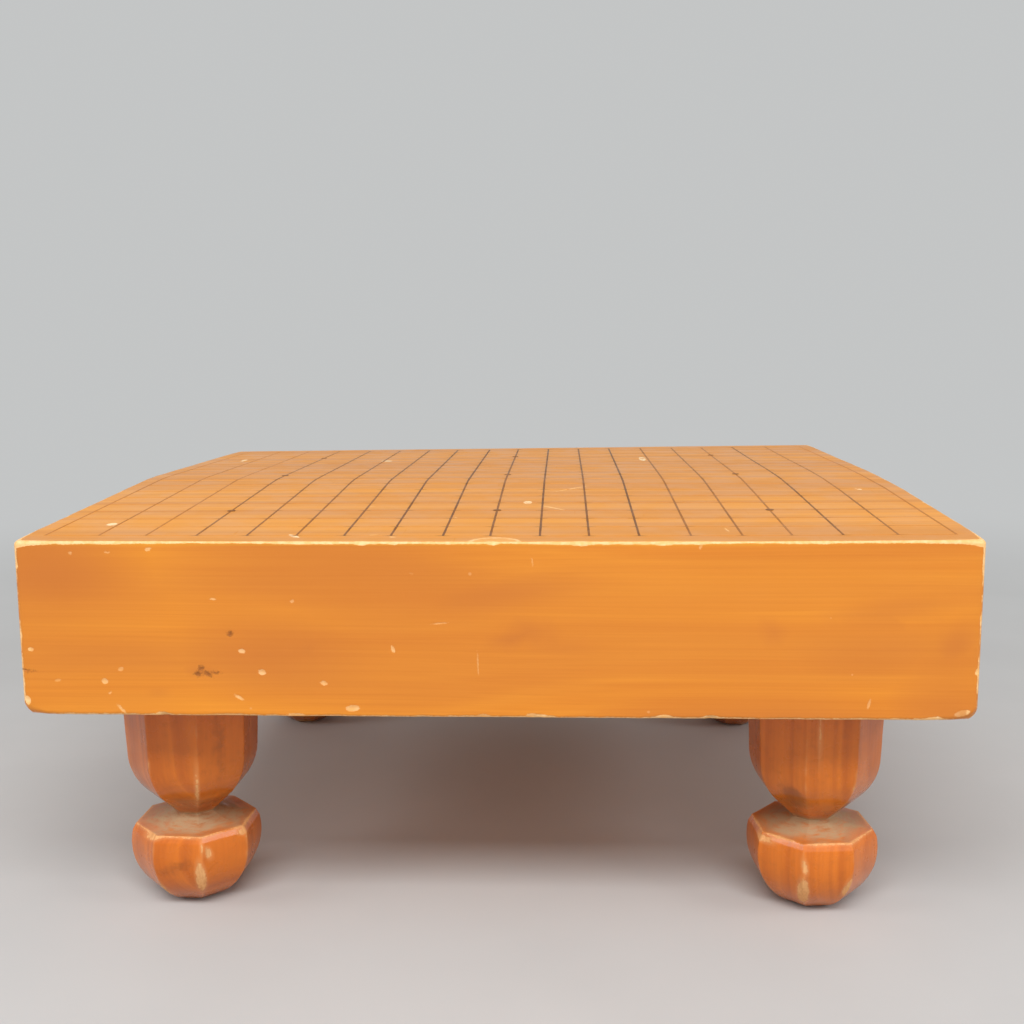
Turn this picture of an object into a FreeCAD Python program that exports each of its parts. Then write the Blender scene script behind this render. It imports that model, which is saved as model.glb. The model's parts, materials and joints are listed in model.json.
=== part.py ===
"""Legged go board: a solid wooden block on four carved gardenia-bud legs.

Millimetres, +Z up. The origin is on the floor under the middle of the board, +X runs
along the long side with the grain of the block, and the player sits on the -Y side.
The block is one piece of wood. Each leg is carved from one piece, with a turned tenon
that stands dry in a blind mortise, so a leg can be pulled out. The grid and its star
points are raised lacquer on the top.
"""
import FreeCAD, Part
import math
import os

# Block
BOARD_LENGTH = 454.5
BOARD_DEPTH = 424.2
EDGE_THICKNESS = 85.0       # of the front and rear faces
CROWN_RISE = 5.9            # of the middle of the top above its front and rear edges
CROWN_RADIUS = 700.0        # that softens the ridge between the two halves of the top
CORNER_RADIUS = 3.0
TOP_EDGE_CHAMFER = 0.9
BOTTOM_EDGE_CHAMFER = 1.6

# Pyramid recess in the middle of the underside
RECESS_MOUTH = 84.0
RECESS_FLOOR = 36.0
RECESS_DEPTH = 22.0

# Legs
LEG_HEIGHT = 117.5          # from the floor to the underside of the block
LEG_INSET = 63.0            # of a leg's axis from the block's two nearest faces
LEG_SIDES = 8
LEG_TOP_WIDTH = 65.6        # across flats, where the leg meets the block
SHOULDER_INSET = 1.4        # of each flat, from the top down to where the leg curves in
SHOULDER_RADIUS = 32.0
FLANK_ANGLE = 45.0          # of the flank that runs down to the neck, from level
NECK_WIDTH = 21.0
NECK_HEIGHT = 46.6
BUD_INSET = 1.2             # of each flat of the bud at its widest, from the leg's top
BUD_WIDEST_HEIGHT = 31.0
BUD_RADIUS = 34.3           # of the bud's side
RIM_INSET = 2.5             # of the bud's top edge from its widest
RIM_HEIGHT = 41.6           # of that edge, where the bud's dished top begins level
RIM_BEVEL_DROP = 3.4

# Each leg is turned a little in its round mortise, because it is fitted by hand.
LEG_TURNS = {
    "front_left_leg": -2.5,
    "front_right_leg": 5.0,
    "rear_left_leg": 2.0,
    "rear_right_leg": -2.5,
}

# Tenon and mortise
TENON_DIAMETER = 30.0
TENON_LENGTH = 30.0
TENON_CLEARANCE = 0.08      # on the radius
MORTISE_END_GAP = 2.0

# Lacquered grid
GRID_LINES = 19
GRID_END_MARGIN = 9.77      # of the outermost lines from the block's ends
GRID_SIDE_MARGIN = 14.1     # and from its front and rear faces
END_CELL_EXTRA = 2.74       # by which the first and last cell along the block are longer
LINE_WIDTH = 1.1
LINE_THICKNESS = 0.2
STAR_DIAMETER = 4.5
STAR_THICKNESS = 0.3
STAR_LINES = (3, 9, 15)     # counted from 0

HALF_LENGTH = BOARD_LENGTH / 2
HALF_DEPTH = BOARD_DEPTH / 2
UNDERSIDE = LEG_HEIGHT
TOP_EDGE = LEG_HEIGHT + EDGE_THICKNESS
SLACK = 5.0                 # by which cutting and clipping tools overshoot
TOLERANCE = 1e-4


def vec(x, y, z):
    return FreeCAD.Vector(x, y, z)


def crown_edges(lift):
    """The top's outline from front to rear, at x = 0: slope, soft ridge, slope."""
    base = TOP_EDGE + lift
    to_centre = math.hypot(HALF_DEPTH, CROWN_RADIUS - CROWN_RISE)
    fall = math.atan2(CROWN_RISE - CROWN_RADIUS, HALF_DEPTH)
    slope = fall + math.asin(CROWN_RADIUS / to_centre)
    run = math.sqrt(to_centre ** 2 - CROWN_RADIUS ** 2) * math.cos(slope)
    climb = run * math.tan(slope)
    front = vec(0, -HALF_DEPTH, base)
    front_tangent = vec(0, -HALF_DEPTH + run, base + climb)
    ridge = vec(0, 0, base + CROWN_RISE)
    rear_tangent = vec(0, HALF_DEPTH - run, base + climb)
    rear = vec(0, HALF_DEPTH, base)
    return [
        Part.makeLine(front, front_tangent),
        Part.Arc(front_tangent, ridge, rear_tangent).toShape(),
        Part.makeLine(rear_tangent, rear),
    ]


def along_board(edges):
    """A solid with the closed outline given at x = 0, as long as the block."""
    face = Part.Face(Part.Wire(Part.__sortEdges__(edges)))
    solid = face.extrude(vec(BOARD_LENGTH, 0, 0))
    solid.translate(vec(-HALF_LENGTH, 0, 0))
    return solid


def leg_places():
    x = HALF_LENGTH - LEG_INSET
    y = HALF_DEPTH - LEG_INSET
    return {
        "front_left_leg": vec(-x, -y, 0),
        "front_right_leg": vec(x, -y, 0),
        "rear_left_leg": vec(-x, y, 0),
        "rear_right_leg": vec(x, y, 0),
    }


def sawn(edges, reach, sides):
    """The XZ outline sawn through from every pair of faces of a bar with that many sides."""
    slab = Part.Face(Part.Wire(Part.__sortEdges__(edges))).extrude(vec(0, 2 * reach, 0))
    slab.translate(vec(0, -reach, 0))
    body = slab
    for turn in range(1, sides // 2):
        other = slab.copy()
        other.rotate(vec(0, 0, 0), vec(0, 0, 1), turn * 360 / sides)
        body = body.common(other)
    return body


def recess():
    """The four-sided recess, with its slopes carried on past the underside."""
    spread = (RECESS_MOUTH - RECESS_FLOOR) / 2 / RECESS_DEPTH
    mouth = RECESS_MOUTH / 2 + spread * SLACK
    floor = RECESS_FLOOR / 2
    low = UNDERSIDE - SLACK
    high = UNDERSIDE + RECESS_DEPTH
    corners = [vec(-mouth, 0, low), vec(mouth, 0, low), vec(floor, 0, high), vec(-floor, 0, high)]
    outline = Part.makePolygon(corners + corners[:1])
    return sawn(outline.Edges, mouth, 4)


def mortise(place):
    base = vec(place.x, place.y, UNDERSIDE - SLACK)
    depth = TENON_LENGTH + MORTISE_END_GAP + SLACK
    return Part.makeCylinder(TENON_DIAMETER / 2 + TENON_CLEARANCE, depth, base)


def upright(edge):
    return abs(edge.BoundBox.XLength) < TOLERANCE and abs(edge.BoundBox.YLength) < TOLERANCE


def on_outline(edge):
    """Whether an edge runs round the block's top or bottom, on its sides."""
    box = edge.BoundBox
    on_end = box.XLength < TOLERANCE and abs(abs(box.XMin) - HALF_LENGTH) < TOLERANCE
    on_side = box.YLength < TOLERANCE and abs(abs(box.YMin) - HALF_DEPTH) < TOLERANCE
    on_corner = max(box.XLength, box.YLength) < CORNER_RADIUS + TOLERANCE and not upright(edge)
    return (on_end or on_side or on_corner) and not upright(edge)


def board():
    bottom_front = vec(0, -HALF_DEPTH, UNDERSIDE)
    bottom_rear = vec(0, HALF_DEPTH, UNDERSIDE)
    outline = crown_edges(0)
    outline.append(Part.makeLine(bottom_front, vec(0, -HALF_DEPTH, TOP_EDGE)))
    outline.append(Part.makeLine(bottom_rear, vec(0, HALF_DEPTH, TOP_EDGE)))
    outline.append(Part.makeLine(bottom_front, bottom_rear))
    block = along_board(outline)
    block = block.makeFillet(CORNER_RADIUS, [e for e in block.Edges if upright(e)])
    top_rim = [e for e in block.Edges if on_outline(e) and e.BoundBox.ZMin > TOP_EDGE - TOLERANCE]
    block = block.makeChamfer(TOP_EDGE_CHAMFER, top_rim)
    bottom_rim = [e for e in block.Edges if on_outline(e) and e.BoundBox.ZMax < UNDERSIDE + TOLERANCE]
    block = block.makeChamfer(BOTTOM_EDGE_CHAMFER, bottom_rim)
    tools = [mortise(place) for place in leg_places().values()]
    tools.append(recess())
    return block.cut(tools)


def leg_outline():
    """Half of a leg's outline across flats, from the foot up: (x, z) corners and arc middles."""
    bud_half = LEG_TOP_WIDTH / 2 - BUD_INSET
    bud_centre = bud_half - BUD_RADIUS
    foot_half = bud_centre + math.sqrt(BUD_RADIUS ** 2 - BUD_WIDEST_HEIGHT ** 2)
    bevel_foot = RIM_HEIGHT - RIM_BEVEL_DROP
    bevel_rise = bevel_foot - BUD_WIDEST_HEIGHT
    bevel_half = bud_centre + math.sqrt(BUD_RADIUS ** 2 - bevel_rise ** 2)
    widest = (bud_half, BUD_WIDEST_HEIGHT)
    rim = (bud_half - RIM_INSET, RIM_HEIGHT)
    neck = (NECK_WIDTH / 2, NECK_HEIGHT)

    across = rim[0] - neck[0]
    rise = neck[1] - rim[1]
    dish_radius = (across ** 2 + rise ** 2) / (2 * rise)
    dish_turn = math.atan2(rise, across)
    dish_middle = (
        rim[0] - dish_radius * math.sin(dish_turn),
        rim[1] + dish_radius * (1 - math.cos(dish_turn)),
    )

    flank = math.radians(FLANK_ANGLE)
    shoulder_half = LEG_TOP_WIDTH / 2 - SHOULDER_INSET
    meet_z = neck[1] + (shoulder_half - neck[0]) * math.tan(flank)
    tangent = SHOULDER_RADIUS * math.tan((math.pi / 2 - flank) / 2)
    flank_top = (shoulder_half - tangent * math.cos(flank), meet_z - tangent * math.sin(flank))
    shoulder = (shoulder_half, meet_z + tangent)
    middle = (math.pi / 2 - flank) / 2
    shoulder_middle = (
        shoulder_half - SHOULDER_RADIUS * (1 - math.cos(middle)),
        shoulder[1] - SHOULDER_RADIUS * math.sin(middle),
    )
    return [
        ("line", (0, 0), (foot_half, 0)),
        ("arc", (foot_half, 0), widest, (bevel_half, bevel_foot)),
        ("line", (bevel_half, bevel_foot), rim),
        ("arc", rim, dish_middle, neck),
        ("line", neck, flank_top),
        ("arc", flank_top, shoulder_middle, shoulder),
        ("line", shoulder, (LEG_TOP_WIDTH / 2, LEG_HEIGHT)),
        ("line", (LEG_TOP_WIDTH / 2, LEG_HEIGHT), (0, LEG_HEIGHT)),
    ]


def outline_edges(side):
    """The half outline as edges in the XZ plane, on the side given as 1 or -1."""
    edges = []
    for kind, *points in leg_outline():
        places = [vec(side * x, 0, z) for x, z in points]
        edges.append(Part.makeLine(*places) if kind == "line" else Part.Arc(*places).toShape())
    return edges


def leg_body():
    """The octagonal carving, from the floor to the underside of the block."""
    return sawn(outline_edges(1) + outline_edges(-1), LEG_TOP_WIDTH, LEG_SIDES)


def leg(body, place, turn):
    tenon = Part.makeCylinder(TENON_DIAMETER / 2, TENON_LENGTH + SLACK, vec(0, 0, LEG_HEIGHT - SLACK))
    whole = body.fuse(tenon).removeSplitter()
    whole.rotate(vec(0, 0, 0), vec(0, 0, 1), turn)
    whole.translate(place)
    return whole


def lacquer_layer(thickness):
    """A coat as thick as given, all over the top of the block."""
    ends = [
        Part.makeLine(vec(0, y, TOP_EDGE), vec(0, y, TOP_EDGE + thickness))
        for y in (-HALF_DEPTH, HALF_DEPTH)
    ]
    return along_board(crown_edges(0) + crown_edges(thickness) + ends)


def line_positions(size, margin, extra):
    """The centres of the lines across a side of that size; its outer cells are longer by extra."""
    cell = (size - 2 * margin - 2 * extra) / (GRID_LINES - 1)
    middle = (GRID_LINES - 1) / 2
    edge = size / 2 - margin
    return [-edge] + [cell * (step - middle) for step in range(1, GRID_LINES - 1)] + [edge]


def crossings():
    xs = line_positions(BOARD_LENGTH, GRID_END_MARGIN, END_CELL_EXTRA)
    ys = line_positions(BOARD_DEPTH, GRID_SIDE_MARGIN, 0)
    return xs, ys


def rectangle(x_low, x_high, y_low, y_high):
    z = TOP_EDGE - SLACK
    corners = [vec(x_low, y_low, z), vec(x_high, y_low, z), vec(x_high, y_high, z), vec(x_low, y_high, z)]
    return Part.makePolygon(corners + corners[:1])


def grid_lines():
    """All the lines as one net, cut out of a coat of lacquer."""
    half = LINE_WIDTH / 2
    xs, ys = crossings()
    wires = [rectangle(xs[0] - half, xs[-1] + half, ys[0] - half, ys[-1] + half)]
    for left, right in zip(xs, xs[1:]):
        for near, far in zip(ys, ys[1:]):
            wires.append(rectangle(left + half, right - half, near + half, far - half))
    plan = Part.makeFace(wires, "Part::FaceMakerBullseye")
    net = plan.extrude(vec(0, 0, CROWN_RISE + LINE_THICKNESS + 2 * SLACK))
    return net.common(lacquer_layer(LINE_THICKNESS))


def star_points(net):
    """The nine star points, each a dot of thicker lacquer over a crossing of the net."""
    xs, ys = crossings()
    height = CROWN_RISE + STAR_THICKNESS + 2 * SLACK
    coat = lacquer_layer(STAR_THICKNESS)
    dots = []
    for i in STAR_LINES:
        for j in STAR_LINES:
            base = vec(xs[i], ys[j], TOP_EDGE - SLACK)
            disc = Part.makeCylinder(STAR_DIAMETER / 2, height, base)
            dots.append(disc.common(coat).cut(net))
    return Part.makeCompound(dots)


def main():
    os.makedirs("parts", exist_ok=True)
    net = grid_lines()
    nodes = {"board": board(), "grid_lines": net, "star_points": star_points(net)}
    body = leg_body()
    for name, place in leg_places().items():
        nodes[name] = leg(body.copy(), place, LEG_TURNS[name])
    for name, shape in nodes.items():
        shape.exportStep("parts/" + name + ".step")
        print(name, len(shape.Solids), round(shape.Volume, 1), shape.isValid())


main()
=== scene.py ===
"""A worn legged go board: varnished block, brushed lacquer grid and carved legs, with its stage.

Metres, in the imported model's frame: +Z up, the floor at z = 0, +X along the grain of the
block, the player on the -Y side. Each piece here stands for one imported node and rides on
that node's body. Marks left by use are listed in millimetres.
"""

from collections import namedtuple
import json
import math

import bmesh
import bpy
import numpy as np
from mathutils import Matrix, Vector, noise


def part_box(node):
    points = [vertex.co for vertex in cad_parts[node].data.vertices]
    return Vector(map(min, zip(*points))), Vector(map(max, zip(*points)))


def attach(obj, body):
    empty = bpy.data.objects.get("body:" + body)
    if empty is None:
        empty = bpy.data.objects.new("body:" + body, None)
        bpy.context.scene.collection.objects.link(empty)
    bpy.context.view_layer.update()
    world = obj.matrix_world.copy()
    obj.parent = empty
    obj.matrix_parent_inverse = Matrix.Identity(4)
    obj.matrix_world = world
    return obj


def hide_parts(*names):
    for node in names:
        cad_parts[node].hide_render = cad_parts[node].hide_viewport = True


bl_info = {
    "name": "Legged Go Board",
    "version": (1, 0, 0),
    "blender": (4, 5, 0),
    "location": "3D View > Sidebar > Go Board",
    "description": "Builds a worn legged go board and the stage that it stands on",
    "category": "Add Mesh",
}

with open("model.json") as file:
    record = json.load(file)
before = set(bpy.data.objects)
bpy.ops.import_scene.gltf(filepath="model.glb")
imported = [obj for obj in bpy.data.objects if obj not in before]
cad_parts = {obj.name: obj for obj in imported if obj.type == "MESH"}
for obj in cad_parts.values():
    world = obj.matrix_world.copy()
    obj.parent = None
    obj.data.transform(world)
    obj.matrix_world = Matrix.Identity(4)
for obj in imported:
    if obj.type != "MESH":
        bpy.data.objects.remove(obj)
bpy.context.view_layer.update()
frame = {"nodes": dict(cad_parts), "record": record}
BOARD_LOW, BOARD_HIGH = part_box("board")
LINES_LOW, LINES_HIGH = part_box("grid_lines")
HALF_LENGTH = BOARD_HIGH.x
HALF_DEPTH = BOARD_HIGH.y
UNDERSIDE = BOARD_LOW.z
STARS_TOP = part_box("star_points")[1].z
MM = 0.001
NOT_WORN = -0.003           # of the "bare" field, far from any worn place
BARE_THROUGH = 0.003        # of the "bare" field, inside a hole and on a tenon

# A mark left by use: its middle, length, width, turn in degrees, and depth.
Mark = namedtuple("Mark", "across up length width turn depth")

# Places where the varnish of the front face is chipped off, by x and height above the
# underside.
FRONT_CHIPS = (
    Mark(-221.4, 32.6, 2.9, 2.0, 0, 0.2),
    Mark(-209.2, 17.4, 2.8, 1.4, 8, 0.1),
    Mark(-186.4, 17.0, 3.1, 2.6, -12, 0.3),
    Mark(-178.3, 23.0, 2.8, 2.1, 20, 0.1),
    Mark(-184.0, 11.5, 1.9, 1.1, 50, 0.1),
    Mark(-110.3, 21.9, 3.8, 2.7, -6, 0.4),
    Mark(-119.6, 32.2, 3.4, 2.2, -10, 0.2),
    Mark(-132.4, 57.4, 4.0, 1.0, -8, 0.2),
    Mark(-94.8, 56.5, 2.1, 1.7, 30, 0.1),
    Mark(-80.8, 16.7, 3.4, 2.2, -15, 0.3),
    Mark(-67.2, 4.4, 6.5, 3.1, 4, 0.3),
    Mark(-121.9, 9.5, 5.2, 1.5, -32, 0.2),
    Mark(-178.9, 3.2, 6.5, 1.4, -48, 0.2),
    Mark(-162.3, 81.3, 3.4, 1.6, 14, 0.3),
    Mark(-182.0, 79.9, 2.9, 1.1, 0, 0.1),
    Mark(-199.7, 79.4, 2.2, 1.4, 0, 0.1),
    Mark(-37.8, 69.7, 2.4, 1.0, -10, 0.1),
    Mark(-47.5, 33.5, 1.8, 3.4, 16, 0.3),
    Mark(-7.3, 27.4, 0.6, 8.8, 2, 0.1),
    Mark(18.4, 76.0, 1.0, 4.3, 12, 0.1),
    Mark(-25.5, 46.0, 6.9, 0.7, 5, 0.1),
    Mark(96.5, 83.0, 1.2, 3.4, -18, 0.1),
    Mark(176.2, 8.1, 1.4, 4.6, -10, 0.1),
    Mark(-224.6, 7.3, 3.0, 4.6, 8, 0.5),
    Mark(-226.0, 73.5, 1.8, 4.1, 0, 0.4),
    Mark(226.0, 23.8, 2.8, 3.4, 0, 0.4),
    Mark(-5.0, 1.0, 6.0, 1.9, 0, 0.3),
    Mark(18.0, 1.2, 5.5, 2.4, 4, 0.3),
    Mark(219.6, 3.8, 7.4, 3.0, 14, 0.1),
    Mark(-94.0, 0.6, 9.0, 2.2, -4, 0.3),
)

# Dark knots and stains of the front face. Those with a depth are holes.
FRONT_KNOTS = (
    Mark(-125.0, 40.6, 2.8, 2.6, 10, 0.7),
    Mark(-139.4, 23.6, 2.6, 2.8, 50, 0.4),
    Mark(-141.0, 20.9, 3.6, 2.4, -10, 0.5),
    Mark(-136.6, 21.0, 4.2, 1.7, -30, 0.5),
    Mark(-132.8, 21.6, 3.4, 1.1, 0, 0.0),
    Mark(-225.5, 22.3, 7.0, 1.1, -6, 0.5),
)

# Soft darker clouds under the varnish of the front face. Here the depth is how strong each is.
FRONT_CLOUDS = (
    Mark(-164.6, 34.9, 13.0, 7.0, 0, 1),
    Mark(-92.7, 49.8, 40.0, 9.0, 4, 1),
    Mark(-89.3, 34.7, 30.0, 8.0, -4, 1),
    Mark(-161.0, 11.7, 24.0, 9.0, 0, 1),
    Mark(-139.0, 22.5, 34.0, 11.0, 0, 1),
    Mark(-125.0, 41.0, 11.0, 9.0, 0, 1),
    Mark(13.1, 39.6, 44.0, 13.0, 12, 1),
    Mark(42.2, 37.3, 70.0, 9.0, 4, 1),
    Mark(-8.0, 60.0, 150.0, 30.0, 8, 1),
    Mark(-60.0, 62.0, 150.0, 34.0, -14, 1),
    Mark(114.1, 56.8, 20.0, 1.8, -1, 1),
    Mark(129.1, 65.4, 5.0, 3.0, 0, 1),
    Mark(130.2, 42.0, 8.0, 3.0, 0, 1),
    Mark(180.0, 52.0, 90.0, 14.0, 6, 1),
    Mark(214.0, 33.0, 44.0, 26.0, 60, 1),
    Mark(186.0, 20.0, 150.0, 56.0, 0, 1),
    Mark(-200.0, 42.0, 190.0, 150.0, 0, 1),
    Mark(-112.0, 46.0, 150.0, 110.0, 0, 1),
    Mark(-76.0, 86.0, 260.0, 120.0, 0, 2.1),
    Mark(-206.0, 78.0, 150.0, 100.0, 0, 1.6),
    Mark(132.0, 0.0, 270.0, 76.0, 0, 1.4),
    Mark(214.0, 8.0, 110.0, 76.0, 0, 1.9),
)

# Chips and scratches of the top, by x and y. The deeper ones are paler: raw wood with a painted
# glint.
TOP_CHIPS = (
    Mark(-199.6, 118.0, 3.2, 17.0, 0, 0.2),
    Mark(-194.6, -169.1, 5.0, 7.0, 0, 0.2),
    Mark(-92.9, 104.8, 8.0, 9.0, 0, 0.2),
    Mark(89.6, 107.0, 4.8, 26.0, 0, 0.3),
    Mark(13.8, -108.9, 4.6, 8.0, 0, 0.2),
    Mark(-95.7, -199.0, 9.0, 2.6, -52, 0.2),
    Mark(201.6, -67.2, 2.6, 6.0, 20, 0.2),
    Mark(-138.0, 86.0, 9.0, 2.0, 0, 0.1),
    Mark(27.2, -124.2, 20.0, 1.6, -48, 0.15),
    Mark(38.6, -63.3, 29.0, 1.5, 46, 0.15),
    Mark(112.0, -184.0, 0.8, 9.0, 8, 0.1),
    Mark(-48.0, -201.0, 3.0, 2.0, 0, 0.1),
    Mark(-58.0, -196.0, 4.0, 1.2, 25, 0.1),
    Mark(-22.0, -153.0, 1.4, 2.4, 0, 0.1),
    Mark(-70.0, -120.0, 3.4, 0.8, 30, 0.1),
)

# A pale crescent pressed into the top at its front edge, and the width of its line.
CRESCENT = {"across": 1.0, "half_length": 11.5, "depth": 9.5, "line": 1.8}

# How faded each line that runs away from the player is, from the left, 0 to 1.
LINE_FADE = (0.85, 0.78, 0.82, 0.34, 0.26, 0.28, 0.14, 0.0, 0.0, 0.14,
             0.0, 0.05, 0.0, 0.42, 0.42, 0.58, 0.14, 0.48, 0.80)

# How far each of those lines stands from its even place, in millimetres.
LINE_SHIFT = (0.3, 0.0, -0.9, -0.2, 0.4, 0.5, -0.3, -1.7, -0.5, -1.8,
              -2.0, -2.5, -2.6, -2.0, -1.6, -2.2, -2.1, -0.4, -0.1)

# A worn patch on a leg: its direction round the leg in degrees, the height of its middle,
# its width and height, its turn in degrees, its depth, and what it looks like.
Patch = namedtuple("Patch", "direction height across tall turn depth tone")
LEG_PATCHES = {
    "front_left_leg": (
        Patch(-71.5, 19.0, 5.0, 19.0, 4, 0.5, "bare"),
        Patch(-64.0, 33.0, 3.0, 6.0, 20, 0.4, "bare"),
        Patch(-71.5, 65.0, 1.4, 18.0, 0, 0.2, "bare"),
        Patch(-116.5, 54.0, 3.4, 5.0, 30, 0.4, "bare"),
        Patch(-116.5, 10.0, 3.0, 12.0, 0, 0.3, "bare"),
        Patch(-120.0, 40.0, 12.0, 3.4, 10, 0.5, "bare"),
        Patch(-28.0, 39.0, 5.0, 3.0, -10, 0.3, "bare"),
        Patch(-95.0, 24.0, 10.0, 3.0, 24, 0.0, "stain"),
        Patch(-50.0, 90.0, 2.0, 14.0, 5, 0.0, "stain"),
    ),
    "front_right_leg": (
        Patch(-108.0, 14.0, 5.6, 20.0, -3, 0.5, "bare"),
        Patch(-106.0, 30.0, 2.4, 7.0, 10, 0.3, "bare"),
        Patch(-64.0, 17.0, 3.0, 10.0, 0, 0.4, "bare"),
        Patch(-152.0, 39.5, 12.0, 3.4, -8, 0.5, "bare"),
        # Painted shade: a broad dark patch on the inner front side of the leg above the neck,
        # where the block shades it.
        Patch(-122.0, 63.0, 13.0, 17.0, 30, 0.0, "stain"),
        Patch(-80.0, 44.5, 6.0, 2.0, 0, 0.0, "bare"),
        Patch(-96.0, 98.0, 1.2, 16.0, 3, 0.0, "bare"),
    ),
    "rear_left_leg": (
        Patch(-92.0, 1.5, 16.0, 4.5, 0, 0.5, "bare"),
        Patch(112.0, 20.0, 5.0, 16.0, 0, 0.5, "bare"),
        Patch(158.0, 39.0, 10.0, 3.0, 0, 0.4, "bare"),
        Patch(96.0, 66.0, 10.0, 8.0, 20, 0.0, "stain"),
    ),
    "rear_right_leg": (
        Patch(-70.0, 1.0, 9.0, 2.6, 0, 0.3, "bare"),
        Patch(65.0, 16.0, 4.4, 18.0, 0, 0.5, "bare"),
        Patch(20.0, 39.5, 11.0, 3.2, 0, 0.4, "bare"),
        Patch(40.0, 100.0, 1.6, 14.0, 6, 0.2, "bare"),
    ),
}

# The block's skin is laid out in steps of a lattice, in squares of at most so many steps.
BLOCK_STEPS = (1664, 1536, 320)
COARSEST = 32

# How near to an edge of the block, in metres, its squares are at most so many steps wide.
EDGE_FINENESS = ((0.034, 16), (0.014, 8), (0.006, 4), (0.0024, 2))

# The same near a mark. A mark narrower than this, in millimetres, has squares of one step.
MARK_FINENESS = ((0.014, 16), (0.006, 8), (0.0025, 4), (0.0006, 2))
NARROW_MARK = 1.3
CRESCENT_FINENESS = (0.015, 4)

# The crown, in metres: how far from the ridge its sagging end reaches, between which places
# the lifted near slope comes down again, and where the lift stops short of the full height.
SAG_REACH = 0.19
LIFT_FADES = (-0.03, 0.10)
LIFT_MARGIN = 0.0015

# Wear of the top rim and of the bottom rim, in metres: more rounding and more bare wood at
# the corners, how far along the rims each fades, and the largest chips.
CORNER_ROUNDING, ROUNDING_FADES = (0.0014, 0.0068), 0.0065
CORNER_BARE, BARE_FADES = (0.0036, 0.0008), 0.009
RIM_CHIPS = (0.0035, 0.0045)

# How deep below the even front and top a point still belongs to them, in metres, and how
# deep where only the sound surface counts.
FRONT_SKIN, TOP_SKIN, THIN_SKIN = 0.0022, 0.0016, 0.0003

# A cutter stands out of the wood by the slack. The recess has chiselled flats, so its cutter
# is laid out in steps.
CUTTER_SLACK = 0.004
RECESS_STEPS = (36, 36, 14)

# How strongly worn places of the block show, where 1 is plain bare wood and 2 the palest:
# chips of the front, the shallowest of them, the wood within the crescent, and the deepest
# chips of the top, which are painted palest, as raw wood with a painted glint.
CHIP_STRENGTH, FAINT_STRENGTH, PRESSED_STRENGTH, FRESH_GLINT_STRENGTH = 0.64, 0.38, 0.35, 1.7
FAINT_DEPTH, FRESH_GLINT_DEPTH = 0.1, 0.2
PAINTED_TOP_SHEEN_SHARE = 0.2          # how much of the painted sheen tone the top has

# A stroke of the brush from one crossing to the next: its steps, how far it wavers and
# swells as shares of its width, and the width in metres of its low border.
STROKE_STEPS = 6
WAVER, SWELL = 0.09, 0.16
STROKE_BORDER = 0.00013
BORDER_SHARE = 0.72         # of the lacquer's thickness

STAR_TURNS = 40             # points round a star point

# A leg's outline is softened in fine steps, and has a new row of points after such a length
# or such a bend.
OUTLINE_STEP = 0.00012
ROW_LENGTH, ROW_BEND = 0.0019, math.radians(9)

# Heights and radii that tell the parts of a leg's outline apart, in metres.
BUD_TOP = 0.0425
NECK_BETWEEN = (0.035, 0.06)
SHOULDER_RADIUS = 0.0318

# Along a leg's outline, in metres: dust starts past the rim of the bud, thickens, and thins
# out again past the neck. The wood is darker past the neck, most there, and at the foot; painted
# shade lies at the top, under the block.
DUST_STARTS, DUST_THICKENS = 0.0008, 0.010
DUST_ENDS, DUST_THINS = 0.004, 0.003
NECK_DARKENING, NECK_DARKENING_SPREAD = 0.007, 0.014
FOOT_DARKENING, TOP_PAINTED_SHADE = 0.016, 0.005


# Settings


def length_property(name, description, default, low=0.0):
    return bpy.props.FloatProperty(
        name=name, description=description, default=default, min=low,
        precision=5, unit="LENGTH", subtype="DISTANCE",
    )


def colour_property(name, description, default):
    return bpy.props.FloatVectorProperty(
        name=name, description=description, default=(*default, 1.0), size=4,
        min=0.0, max=1.0, subtype="COLOR",
    )


def share_property(name, description, default):
    return bpy.props.FloatProperty(
        name=name, description=description, default=default, min=0.0, max=1.0, subtype="FACTOR",
    )


def power_property(name, description, default):
    return bpy.props.FloatProperty(
        name=name, description=description, default=default, min=0.0, unit="POWER",
    )


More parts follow.
